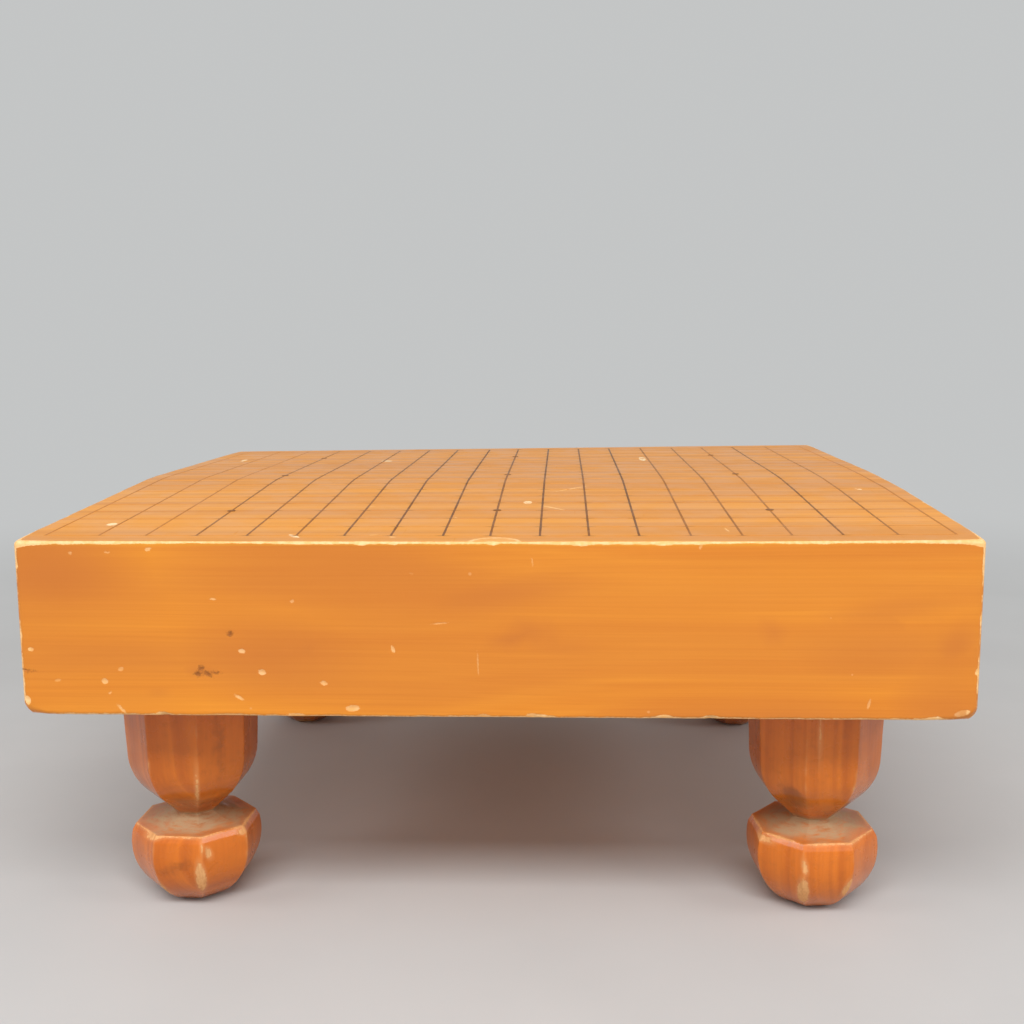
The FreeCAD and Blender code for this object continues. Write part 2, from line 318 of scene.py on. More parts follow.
class BlockSettings(bpy.types.PropertyGroup):
    crown_rise: length_property("Crown rise", "Of the middle of the top above its edges", 0.0059)
    crown_radius: length_property("Crown radius", "Softens the ridge of the top", 0.4, 0.05)
    ridge_shift: length_property("Ridge shift", "Of the ridge from the middle", -0.034, -0.1)
    ridge_bow: length_property("Ridge bow", "Farther back at both ends of the ridge", 0.024, -0.1)
    left_sag: length_property("Left sag", "Of the left end of the ridge", 0.0012)
    right_lift: length_property("Right lift", "Of the near slope at its right end", 0.0012)
    rear_rise: length_property("Rear rise", "Of the rear edge above the front", 0.0005, -0.01)
    rear_twist: length_property("Rear twist", "Extra rise at the rear right", 0.0023, -0.01)
    corner_radius: length_property("Corner radius", "Of the four upright edges", 0.003)
    top_round: length_property("Top edge rounding", "Mean wear radius of the top's edges", 0.0011)
    bottom_round: length_property("Bottom edge rounding", "Mean wear radius underneath", 0.0017)
    top_bare: length_property("Bare top edge", "Mean width of the pale rubbed edge", 0.00125)
    bottom_bare: length_property("Bare bottom edge", "Mean width of the pale edge below", 0.00115)
    recess_mouth: length_property("Recess mouth", "Width of the recess underneath", 0.084)
    recess_floor: length_property("Recess floor", "Width of the recess at its deepest", 0.036)
    recess_depth: length_property("Recess depth", "Of the recess underneath", 0.022)
    mortise_width: length_property("Mortise width", "Of the round holes for the legs", 0.03016)
    mortise_depth: length_property("Mortise depth", "Of the round holes for the legs", 0.032)
    light: colour_property("Light wood", "Varnished early wood", (0.88, 0.344, 0.028))
    deep: colour_property("Deep wood", "Varnished late wood", (0.70, 0.212, 0.013))
    cloud: colour_property("Clouds", "Brown clouds in the wood", (0.55, 0.165, 0.026))
    # Painted sheen: a yellower tone that stands for the light falling on the top.
    sunned: colour_property("Sunned wood", "Yellower tone of the top", (0.77, 0.41, 0.03))
    bare: colour_property("Bare wood", "Where the varnish is rubbed off", (0.93, 0.60, 0.29))
    bare_patches: colour_property("Bare patches", "Darker spots in bare wood", (0.86, 0.43, 0.12))
    # Raw wood with a painted glint, in the deepest chips of the top.
    fresh_and_glint: colour_property("Fresh wood", "In the newest chips of the top", (0.98, 0.78, 0.48))
    knot: colour_property("Knots", "Dark holes and knots", (0.20, 0.062, 0.012))
    varnish_roughness: share_property("Varnish roughness", "Of the sound varnish", 0.36)


class LacquerSettings(bpy.types.PropertyGroup):
    lines: bpy.props.IntProperty(name="Lines", description="Each way", default=19, min=3)
    line_width: length_property("Line width", "Of lines that run away from the player", 0.0011)
    cross_width: length_property("Cross line width", "Of lines across, which are worn", 0.0007)
    thickness: length_property("Thickness", "Of the lacquer on the wood", 0.00008)
    sunk: length_property("Sunk", "How far lines and dots reach into the wood", 0.00015)
    end_cell_extra: length_property("End cell extra", "Extra length of the end cells", 0.00274)
    star_diameter: length_property("Star diameter", "Of the nine dots", 0.0045)
    star_height: length_property("Star height", "Of the nine dots above the wood", 0.0003)
    ink: colour_property("Lacquer", "Sound brushed lacquer", (0.18, 0.070, 0.020))
    faded: colour_property("Faded lacquer", "Where the lines are worn thin", (0.66, 0.232, 0.030))


class LegSettings(bpy.types.PropertyGroup):
    sides: bpy.props.IntProperty(name="Sides", description="Of each leg", default=8, min=4)
    ridge_radius: length_property("Ridge radius", "Wear radius of the carved ridges", 0.0008)
    corner_reach: length_property("Corner reach", "Rounds corners of the outline", 0.0003)
    carving: length_property("Carving marks", "Unevenness left by the chisel", 0.00016)
    tenon_width: length_property("Tenon width", "Of the round tenon", 0.030)
    light: colour_property("Light wood", "Varnished early wood", (0.72, 0.185, 0.012))
    deep: colour_property("Deep wood", "Varnished late wood", (0.50, 0.108, 0.005))
    bare: colour_property("Bare wood", "Where the varnish is rubbed off", (0.86, 0.46, 0.19))
    bare_fibres: colour_property("Bare fibres", "Darker lines in bare wood", (0.62, 0.26, 0.08))
    # Also the colour of the painted shade under the block and of the darkening at the neck and the
    # foot.
    stain: colour_property("Stains", "Dark stains and dirt", (0.20, 0.050, 0.008))
    dust: colour_property("Dust", "On the level tops of the buds", (0.46, 0.30, 0.165))
    varnish_roughness: share_property("Varnish roughness", "Of the sound varnish", 0.28)


class StageSettings(bpy.types.PropertyGroup):
    camera_place: bpy.props.FloatVectorProperty(
        name="Camera place", description="Where the camera stands",
        default=(0.0322, -0.7873, 0.3050), size=3, unit="LENGTH", subtype="TRANSLATION",
    )
    camera_turn: bpy.props.FloatVectorProperty(
        name="Camera turn", description="Pitch, roll and yaw of the camera",
        default=(math.radians(81.27), math.radians(-0.318), math.radians(2.287)),
        size=3, unit="ROTATION", subtype="EULER",
    )
    lens: bpy.props.FloatProperty(
        name="Lens", description="Focal length", default=44.22, min=1.0, unit="CAMERA",
    )
    floor: colour_property("Floor", "Paper that the board stands on", (0.54, 0.54, 0.535))
    background: colour_property("Background", "Seen behind the board", (0.55, 0.56, 0.56))
    ambient: share_property("Ambient light", "Strength of the even light", 0.42)
    key_power: power_property("Key power", "Of the low soft lamp in front", 9.5)
    top_power: power_property("Top power", "Of the high lamp in front", 54.0)
    side_power: power_property("Side power", "Of the two lamps at the sides", 12.0)


# Surfaces


def ripple(points, size, seed=0.0):
    """Smooth noise from -1 to 1 at each point, with features about as large as size."""
    shift = Vector((seed, seed * 1.7 + 3.1, seed * 0.6 - 5.3))
    return np.array([noise.noise(Vector(p) / size + shift) for p in points.tolist()])


def smoothstep(values, low, high):
    share = np.clip((values - low) / (high - low), 0, 1)
    return share ** 2 * (3 - 2 * share)


def crown(x, y, settings):
    """Height of the top above its front edge: two slopes, with a soft ridge between them."""
    side = x / HALF_LENGTH
    rear = settings.rear_rise + settings.rear_twist * side
    ridge = settings.ridge_shift + settings.ridge_bow * side ** 2
    near_run, far_run = HALF_DEPTH + ridge, HALF_DEPTH - ridge
    bend = settings.crown_rise / near_run + (settings.crown_rise - rear) / far_run
    reach = settings.crown_radius * bend / 2
    peak = settings.crown_rise + bend * reach / 4
    near = peak * (y + HALF_DEPTH) / near_run
    far = rear + (peak - rear) * (HALF_DEPTH - y) / far_run
    off_ridge = np.abs(y - ridge)
    even = np.minimum(near, far) - bend * np.clip(reach - off_ridge, 0, None) ** 2 / (4 * reach)
    sag = settings.left_sag * np.clip(-side, 0, 1) ** 1.5
    sag = sag * np.clip(1 - off_ridge / SAG_REACH, 0, 1)
    lift = settings.right_lift * np.clip(side, 0, 1) ** 2 * (1 - smoothstep(y, *LIFT_FADES))
    room = np.clip((settings.crown_rise - even) / LIFT_MARGIN, 0, 1)
    return even - sag + lift * room


def top_height(x, y, settings):
    return BOARD_HIGH.z - settings.crown_rise + crown(x, y, settings)


def box_skin(counts, coarse, fine_enough):
    """Vertices and polygons over a box of counts[0] by counts[1] by counts[2] lattice steps.

    Each face starts as squares of the coarse size, and a square is halved until
    fine_enough(centres, size) accepts it. Neighbours share every lattice point on their sides.
    """
    leaves = []
    for axis in range(3):
        across = [i for i in range(3) if i != axis]
        for side in (0, counts[axis]):
            grid = np.meshgrid(*[np.arange(0, counts[i], coarse) for i in across], indexing="ij")
            cells = np.stack([g.ravel() for g in grid], 1)
            size = coarse
            while len(cells):
                centres = np.empty((len(cells), 3))
                centres[:, axis] = side
                centres[:, across] = cells + size / 2
                done = fine_enough(centres, size) if size > 1 else np.ones(len(cells), bool)
                leaves += [(axis, side, u, v, size) for u, v in cells[done].tolist()]
                size //= 2
                steps = np.array([(0, 0), (0, 1), (1, 0), (1, 1)]) * size
                cells = (cells[~done][:, None, :] + steps[None]).reshape(-1, 2)
    index = {}

    def lattice(axis, side, u, v):
        place = [u, v]
        place.insert(axis, side)
        return tuple(place)

    for axis, side, u, v, size in leaves:
        for du, dv in ((0, 0), (size, 0), (size, size), (0, size)):
            index.setdefault(lattice(axis, side, u + du, v + dv), len(index))
    polygons = []
    for axis, side, u, v, size in leaves:
        steps = range(size)
        rim = [(u + s, v) for s in steps] + [(u + size, v + s) for s in steps]
        rim += [(u + size - s, v + size) for s in steps] + [(u, v + size - s) for s in steps]
        places = [index.get(lattice(axis, side, *p)) for p in rim]
        polygon = [p for p in places if p is not None]
        outward = (side > 0) != (axis == 1)
        polygons.append(polygon if outward else polygon[::-1])
    return np.array(list(index), float), polygons


def placed(name, mesh, material, smooth=True):
    """A new object of the scene with that mesh and material."""
    mesh.materials.append(material)
    mesh.polygons.foreach_set("use_smooth", [smooth] * len(mesh.polygons))
    made = bpy.data.objects.new(name, mesh)
    bpy.context.scene.collection.objects.link(made)
    return made


def mesh_object(name, points, polygons, material):
    mesh = bpy.data.meshes.new(name)
    mesh.from_pydata([tuple(p) for p in points], [], polygons)
    mesh.validate()
    return placed(name, mesh, material)


def object_of(net, name, material):
    """Turns a bmesh into a flat-sided object of the scene, and frees it."""
    mesh = bpy.data.meshes.new(name)
    net.to_mesh(mesh)
    net.free()
    return placed(name, mesh, material, smooth=False)


def points_and_faces(net):
    """Turns a bmesh into points and faces, in an order that is the same on each run."""
    net.verts.index_update()
    faces = []
    for face in net.faces:
        corners = [vertex.index for vertex in face.verts]
        first = corners.index(min(corners))
        faces.append(corners[first:] + corners[:first])
    points = np.array([tuple(vertex.co) for vertex in net.verts])
    net.free()
    return points, sorted(faces)


def tube_faces(first, rings, columns):
    """Squares between rings of points, which were laid one after another from number first."""
    faces = []
    for start in range(first, first + (rings - 1) * columns, columns):
        for step in range(columns):
            a, b = start + step, start + (step + 1) % columns
            faces.append((a, b, b + columns, a + columns))
    return faces


def mesh_points(made):
    """Where the vertices of an object lie, as rows of an array."""
    flat = np.empty(len(made.data.vertices) * 3)
    made.data.vertices.foreach_get("co", flat)
    return flat.reshape(-1, 3)


def set_field(made, name, values):
    """Stores a value at each vertex, for materials to read."""
    attribute = made.data.attributes.new(name, "FLOAT", "POINT")
    attribute.data.foreach_set("value", np.asarray(values, np.float32))


def inside_marks(across, up, marks):
    """How far inside the nearest mark each point lies, and how deep its dent is, in metres."""
    inside = np.full(len(across), NOT_WORN)
    depth = np.zeros(len(across))
    for mark in marks:
        turn = math.radians(mark.turn)
        du = across - mark.across * MM
        dv = up - mark.up * MM
        along = (du * math.cos(turn) + dv * math.sin(turn)) / (mark.length * MM / 2)
        aside = (dv * math.cos(turn) - du * math.sin(turn)) / (mark.width * MM / 2)
        reach = np.hypot(along, aside)
        inside = np.maximum(inside, (1 - reach) * min(mark.length, mark.width) * MM / 2)
        depth = np.maximum(depth, mark.depth * MM * np.clip(1 - reach ** 2, 0, 1) ** 2)
    return inside, depth


def crescent_inside(x, y):
    """How far inside the crescent's pale line, and inside the patch within it, each point lies."""
    line, depth = CRESCENT["line"] * MM / 2, CRESCENT["depth"] * MM
    along = (x - CRESCENT["across"] * MM) / (CRESCENT["half_length"] * MM)
    within = (1 - np.hypot(along, (y + HALF_DEPTH) / depth)) * depth
    return np.maximum(line - np.abs(within), NOT_WORN), np.maximum(within, NOT_WORN)


# Materials


def put(tree, kind, links=None, **settings):
    """Adds a shader node, sets it, and fills its inputs with values or other nodes' outputs."""
    made = tree.nodes.new(kind)
    for name, value in settings.items():
        setattr(made, name, value)
    for key, value in (links or {}).items():
        if isinstance(value, bpy.types.NodeSocket):
            tree.links.new(value, made.inputs[key])
        else:
            made.inputs[key].default_value = value
    return made


def calc(tree, operation, *values, clamp=False):
    links = dict(enumerate(values))
    return put(tree, "ShaderNodeMath", links, operation=operation, use_clamp=clamp).outputs[0]


def weighed(tree, total, *pairs):
    """The total plus each value times its weight."""
    for value, weight in pairs:
        total = calc(tree, "MULTIPLY_ADD", value, weight, total)
    return total


def vector_calc(tree, operation, *values):
    links = dict(enumerate(values))
    return put(tree, "ShaderNodeVectorMath", links, operation=operation).outputs[0]


def scaled(tree, vector, scale):
    links = {0: vector, "Scale": scale}
    return put(tree, "ShaderNodeVectorMath", links, operation="SCALE").outputs[0]


def parts_of(tree, vector):
    return put(tree, "ShaderNodeSeparateXYZ", {0: vector}).outputs


def fade(tree, value, low, high, smooth=True):
    """0 at low, 1 at high."""
    links = {"Value": value, "From Min": low, "From Max": high}
    kind = "SMOOTHSTEP" if smooth else "LINEAR"
    return put(tree, "ShaderNodeMapRange", links, interpolation_type=kind).outputs[0]


def blend(tree, factor, first, second):
    links = {0: factor, 6: first, 7: second}
    return put(tree, "ShaderNodeMix", links, data_type="RGBA").outputs[2]


def tinted(tree, colour, mask, share, paint):
    """The colour with some of the paint over it where the mask is."""
    return blend(tree, calc(tree, "MULTIPLY", mask, share), colour, paint)


def object_place(tree):
    return put(tree, "ShaderNodeTexCoord").outputs["Object"]


def grain_noise(tree, place, scale, detail=2.0, roughness=0.5, output="Fac"):
    links = {"Vector": place, "Scale": scale, "Detail": detail, "Roughness": roughness}
    return put(tree, "ShaderNodeTexNoise", links).outputs[output]


def noise_along(tree, distance, scale, detail, roughness=0.5):
    links = {"W": distance, "Scale": scale, "Detail": detail, "Roughness": roughness}
    return put(tree, "ShaderNodeTexNoise", links, noise_dimensions="1D").outputs["Fac"]


def effect_group(name, inputs, outputs):
    """A shader group with those inputs at their defaults, and numbers as its outputs."""
    tree = bpy.data.node_groups.new(name, "ShaderNodeTree")
    for label, default in inputs.items():
        kind = "NodeSocketVector" if isinstance(default, tuple) else "NodeSocketFloat"
        tree.interface.new_socket(label, in_out="INPUT", socket_type=kind).default_value = default
    for label in outputs:
        tree.interface.new_socket(label, in_out="OUTPUT", socket_type="NodeSocketFloat")
    return tree, put(tree, "NodeGroupInput").outputs


def growth_rings_group():
    """Wood with its grain along X: uneven rings round a far pith, fine fibres and slow figure."""
    inputs = {"Place": (0, 0, 0), "Pith": (0, 0.5, 0), "Ring Width": 0.005, "Waviness": 0.004}
    tree, given = effect_group("growth_rings", inputs, ("Ring", "Fibre", "Figure"))
    slow = vector_calc(tree, "MULTIPLY", given["Place"], (2.2, 11.0, 11.0))
    warp = grain_noise(tree, slow, 1.0, output="Color")
    sway = scaled(tree, vector_calc(tree, "SUBTRACT", warp, (0.5, 0.5, 0.5)), given["Waviness"])
    moved = vector_calc(tree, "ADD", given["Place"], sway)
    _, across, up = parts_of(tree, vector_calc(tree, "SUBTRACT", moved, given["Pith"]))
    squares = [calc(tree, "MULTIPLY", side, side) for side in (across, up)]
    count = calc(tree, "SQRT", calc(tree, "ADD", *squares))
    count = calc(tree, "DIVIDE", count, given["Ring Width"])
    ring = fade(tree, noise_along(tree, count, 1.0, 3.0, 0.6), 0.30, 0.72, smooth=False)
    fine = vector_calc(tree, "MULTIPLY", moved, (6.0, 800.0, 800.0))
    fibre = fade(tree, grain_noise(tree, fine, 1.0, 3.0, 0.65), 0.28, 0.72, smooth=False)
    broad = vector_calc(tree, "MULTIPLY", given["Place"], (4.0, 16.0, 16.0))
    drift = grain_noise(tree, broad, 1.0)
    bands = noise_along(tree, count, 0.32, 2.0)
    figure = fade(tree, weighed(tree, drift, (bands, 1.4)), 0.95, 1.45)
    put(tree, "NodeGroupOutput", {"Ring": ring, "Fibre": fibre, "Figure": figure})


def ragged_mask_group():
    """Turns a field in metres into a mask with a torn outline: 1 where the field is above 0."""
    inputs = {
        "Field": 0.0, "Place": (0, 0, 0), "Raggedness": 0.0004, "Grain": 900.0,
        "Softness": 0.00012,
    }
    tree, given = effect_group("ragged_mask", inputs, ("Mask",))
    torn = grain_noise(tree, given["Place"], given["Grain"], 3.0, 0.6)
    push = calc(tree, "MULTIPLY", calc(tree, "SUBTRACT", torn, 0.5), given["Raggedness"])
    raised = weighed(tree, given["Field"], (push, 2.0))
    low = calc(tree, "MULTIPLY", given["Softness"], -1.0)
    put(tree, "NodeGroupOutput", {"Mask": fade(tree, raised, low, given["Softness"])})


def handling_group():
    """Traces of use on varnish: fine scratches, small specks and dull smudges."""
    inputs = {"Place": (0, 0, 0), "Scale": 1.0}
    tree, given = effect_group("handling", inputs, ("Scratch", "Speck", "Smudge"))
    sized = scaled(tree, given["Place"], given["Scale"])
    turned = put(tree, "ShaderNodeMapping", {
        "Vector": sized, "Rotation": (0.5, 0.3, 0.6), "Scale": (900.0, 24.0, 900.0),
    }).outputs[0]
    scratch = fade(tree, grain_noise(tree, turned, 1.0), 0.70, 0.76)
    links = {"Vector": sized, "Scale": 95.0, "Randomness": 1.0}
    spots = put(tree, "ShaderNodeTexVoronoi", links).outputs
    chance = put(tree, "ShaderNodeSeparateColor", {0: spots["Color"]}).outputs[0]
    reach = calc(tree, "MULTIPLY", fade(tree, chance, 0.80, 1.0, smooth=False), 0.08)
    speck = calc(tree, "LESS_THAN", spots["Distance"], reach)
    smudge = fade(tree, grain_noise(tree, sized, 34.0, 4.0, 0.6), 0.36, 0.66)
    put(tree, "NodeGroupOutput", {"Scratch": scratch, "Speck": speck, "Smudge": smudge})


def use_group(tree, name, links):
    return put(tree, "ShaderNodeGroup", links, node_tree=bpy.data.node_groups[name]).outputs


def new_material(name):
    material = bpy.data.materials.new(name)
    material.use_nodes = True
    material.node_tree.nodes.clear()
    return material, material.node_tree


def field(tree, name):
    """The values that set_field stored under that name."""
    return put(tree, "ShaderNodeAttribute", attribute_name=name).outputs["Fac"]


def torn_mask(tree, name, place, raggedness, softness, grain=900.0):
    """1 where the stored field is above 0, with a torn outline."""
    return use_group(tree, "ragged_mask", {
        "Field": field(tree, name), "Place": place, "Raggedness": raggedness,
        "Softness": softness, "Grain": grain,
    })["Mask"]


def duller(tree, matt, sound, worn):
    """The roughness of sound varnish, and of worn places where the matt mask is."""
    links = {0: matt, 2: sound, 3: worn}
    return put(tree, "ShaderNodeMix", links, data_type="FLOAT").outputs[0]


def shaded(tree, looks, height, strength, distance):
    """A shader with those looks, over relief of that height."""
    links = {"Height": height, "Strength": strength, "Distance": distance}
    bump = put(tree, "ShaderNodeBump", links).outputs[0]
    return put(tree, "ShaderNodeBsdfPrincipled", {**looks, "Normal": bump}).outputs[0]


def finish_material(tree, shader):
    put(tree, "ShaderNodeOutputMaterial", {0: shader})


def board_material(settings):
    """Amber varnish over straight-grained wood, rubbed bare at edges and chips."""
    material, tree = new_material("amber_varnished_board")
    place = object_place(tree)
    wood = use_group(tree, "growth_rings", {
        "Place": place, "Pith": (0, 0.55, 0.05), "Ring Width": 0.0042, "Waviness": 0.010,
    })
    marks = use_group(tree, "handling", {"Place": place, "Scale": 1.0})
    bare = torn_mask(tree, "bare", place, 0.0006, 0.0002)
    knot = torn_mask(tree, "knot", place, 0.0016, 0.0008)
    strength = field(tree, "strength")

    tone = weighed(tree, -0.2, (wood["Ring"], 0.72), (wood["Fibre"], 0.58))
    colour = blend(tree, tone, settings.light, settings.deep)
    clouded = weighed(tree, 0.0, (field(tree, "cloud"), 0.33), (wood["Figure"], 0.6))
    colour = blend(tree, clouded, colour, settings.cloud)
    # Painted sheen: the top is tinted yellower, for the light that falls on it.
    colour = blend(tree, field(tree, "sunned"), colour, settings.sunned)
    colour = tinted(tree, colour, marks["Speck"], 0.22, settings.bare)
    patches = fade(tree, grain_noise(tree, place, 330.0), 0.35, 0.65)
    patchy = weighed(tree, 0.0, (patches, 0.55), (wood["Fibre"], 0.3))
    pale = blend(tree, patchy, settings.bare, settings.bare_patches)
    # Raw wood with a painted glint: the deepest chips of the top are painted near white.
    fresh_and_glint = calc(tree, "SUBTRACT", strength, 1.0, clamp=True)
    pale = blend(tree, fresh_and_glint, pale, settings.fresh_and_glint)
    colour = tinted(tree, colour, bare, strength, pale)
    colour = tinted(tree, colour, knot, 0.75, settings.knot)

    varnish = settings.varnish_roughness - 0.05
    varnish = weighed(tree, varnish, (marks["Smudge"], 0.12), (marks["Scratch"], 0.12))
    height = weighed(tree, 0.0, (wood["Ring"], 0.2), (wood["Fibre"], 0.25), (bare, -0.9),
                     (marks["Scratch"], -0.35))
    looks = {
        "Base Color": colour, "Roughness": duller(tree, bare, varnish, 0.62),
        "IOR": 1.45, "Specular IOR Level": 0.34,
    }
    finish_material(tree, shaded(tree, looks, height, 0.6, 0.00012))
    return material


def lacquer_material(settings):
    """Dark brushed lacquer, thin and brown where it has faded."""
    material, tree = new_material("brushed_lacquer")
    place = object_place(tree)
    marks = use_group(tree, "handling", {"Place": place, "Scale": 2.0})
    streak = grain_noise(tree, place, 420.0, 3.0, 0.6)
    uneven = calc(tree, "SUBTRACT", streak, 0.5)
    worn = weighed(tree, field(tree, "faded"), (uneven, 0.5))
    thin = fade(tree, worn, 0.0, 1.3, smooth=False)
    looks = {
        "Base Color": blend(tree, thin, settings.ink, settings.faded),
        "Roughness": weighed(tree, 0.30, (marks["Smudge"], 0.15)),
        "IOR": 1.5, "Specular IOR Level": 0.05,
    }
    finish_material(tree, shaded(tree, looks, streak, 0.5, 0.0001))
    return material


def leg_material(settings):
    """Red-brown varnish over upright grain, bare on the ridges and dusty on level tops."""
    material, tree = new_material("red_varnished_leg")
    place = object_place(tree)
    links = {"Vector": place, "Rotation": (0, math.pi / 2, 0)}
    upright = put(tree, "ShaderNodeMapping", links).outputs[0]
    wood = use_group(tree, "growth_rings", {
        "Place": upright, "Pith": (0, 0.02, 0.31), "Ring Width": 0.0026, "Waviness": 0.006,
    })
    marks = use_group(tree, "handling", {"Place": place, "Scale": 1.3})
    bare = torn_mask(tree, "bare", place, 0.0012, 0.0002, 520.0)
    stain = torn_mask(tree, "stain", place, 0.004, 0.0035, 200.0)
    rubbed = fade(tree, field(tree, "bare"), -0.0016, 0.0)

    tone = weighed(tree, 0.0, (wood["Ring"], 0.25), (wood["Fibre"], 0.22), (wood["Figure"], 0.55))
    colour = blend(tree, tone, settings.light, settings.deep)
    colour = tinted(tree, colour, rubbed, 0.22, settings.bare)
    colour = tinted(tree, colour, stain, 0.65, settings.stain)
    colour = tinted(tree, colour, marks["Speck"], 0.3, settings.bare)
    pale = blend(tree, wood["Fibre"], settings.bare, settings.bare_fibres)
    colour = blend(tree, bare, colour, pale)

    across, along, _ = parts_of(tree, place)
    up = calc(tree, "MULTIPLY", field(tree, "climb"), 330.0)
    sides = [calc(tree, "MULTIPLY", side, 130.0) for side in (across, along)]
    on_skin = put(tree, "ShaderNodeCombineXYZ", dict(enumerate([*sides, up]))).outputs[0]
    streaks = grain_noise(tree, on_skin, 1.0, 3.0, 0.65)
    speckle = grain_noise(tree, place, 900.0, 4.0, 0.7)
    laid = calc(tree, "MULTIPLY", fade(tree, streaks, 0.12, 0.62), fade(tree, speckle, 0.0, 0.5))
    dust = calc(tree, "MULTIPLY", laid, field(tree, "dust"))
    # Darker past the neck and at the foot, and painted shade at the top of the leg under the
    # block.
    grime = calc(tree, "MULTIPLY", field(tree, "grime"), fade(tree, streaks, 1.0, 0.1))
    colour = tinted(tree, colour, grime, 0.75, settings.stain)
    colour = blend(tree, dust, colour, settings.dust)

    varnish = weighed(tree, settings.varnish_roughness - 0.04, (marks["Smudge"], 0.12))
    matt = calc(tree, "MAXIMUM", bare, dust)
    height = weighed(tree, 0.0, (wood["Ring"], 0.25), (wood["Fibre"], 0.35), (bare, -0.8),
                     (dust, 0.7))
    looks = {
        "Base Color": colour, "Roughness": duller(tree, matt, varnish, 0.72),
        "IOR": 1.45, "Specular IOR Level": 0.35,
        "Coat Weight": weighed(tree, 0.4, (matt, -0.4)), "Coat Roughness": 0.12,
    }
    finish_material(tree, shaded(tree, looks, height, 0.6, 0.00018))
    return material


def make_effects():
    """Builds the shader groups that are still missing."""
    effects = {
        "growth_rings": growth_rings_group,
        "ragged_mask": ragged_mask_group,
        "handling": handling_group,
    }
    for name, build in effects.items():
        if name not in bpy.data.node_groups:
            build()


# Block


def block_fineness(counts):
    """Says where the block's skin is fine enough: small squares at edges and marks."""
    size = np.array([2 * HALF_LENGTH, 2 * HALF_DEPTH, BOARD_HIGH.z - UNDERSIDE])
    step = size / counts
    front_marks = FRONT_CHIPS + FRONT_KNOTS
    marks = [(Vector((m.across * MM, -HALF_DEPTH, m.up * MM)), m) for m in front_marks]
    marks += [(Vector((m.across * MM, m.up * MM, size[2])), m) for m in TOP_CHIPS]

    def fine_enough(centres, cell):
        places = centres * step - np.array([HALF_LENGTH, HALF_DEPTH, 0])
        half = cell * step.max() / 2
        allowed = np.full(len(places), COARSEST)

        def limit(here, steps):
            allowed[here] = np.minimum(allowed[here], steps)

        dx = HALF_LENGTH - np.abs(places[:, 0])
        dy = HALF_DEPTH - np.abs(places[:, 1])
        rim = np.minimum(dx, dy) + np.minimum(places[:, 2], size[2] - places[:, 2])
        near = np.minimum(rim, np.hypot(dx, dy))
        for reach, steps in EDGE_FINENESS:
            limit(near - half < reach, steps)
        reach, steps = CRESCENT_FINENESS
        near_crescent = np.hypot(places[:, 0], places[:, 1] + HALF_DEPTH) - half < reach
        limit(near_crescent & (places[:, 2] > size[2] - step[2]), steps)
        for place, mark in marks:
            distance = np.linalg.norm(places - np.array(place), axis=1)
            gap = distance - half - max(mark.length, mark.width) * MM / 2
            for reach, steps in MARK_FINENESS:
                limit(gap < reach, steps)
            if min(mark.length, mark.width) < NARROW_MARK:
                limit(gap < MARK_FINENESS[-1][0], 1)
        return cell <= allowed

    return fine_enough


def rim_wear(points, settings):
    """Along the top and bottom rims, in metres: rounding radius, bare width and size of chips."""
    top = points[:, 2] > (UNDERSIDE + BOARD_HIGH.z) / 2
    front = points[:, 1] < -HALF_DEPTH + 0.02
    corner = np.hypot(HALF_LENGTH - np.abs(points[:, 0]), HALF_DEPTH - np.abs(points[:, 1]))
    slow = ripple(points, 0.016, 1.0)
    quick = ripple(points, 0.0045, 2.0)
    fine = ripple(points, 0.0018, 3.0)
    scatter = np.clip(ripple(points, 0.009, 4.0) - 0.28, 0, 1)
    rounding = np.where(top, settings.top_round, settings.bottom_round)
    rounding = rounding * (1 + 0.35 * slow + 0.22 * quick)
    rounding += np.where(top, *CORNER_ROUNDING) * np.exp(-corner / ROUNDING_FADES)
    bare = np.where(top, settings.top_bare, settings.bottom_bare)
    bare = bare * np.where(front, 1.0, 0.8) + 0.00045 * slow + 0.0003 * quick + 0.00012 * fine
    bare += np.where(top, *CORNER_BARE) * np.exp(-corner / BARE_FADES)
    ragged = 0.0006 * np.clip(fine, 0, 1) * (scatter > 0)
    chip = np.where(top, *RIM_CHIPS) * scatter + ragged
    return rounding, bare + chip * 0.7, chip


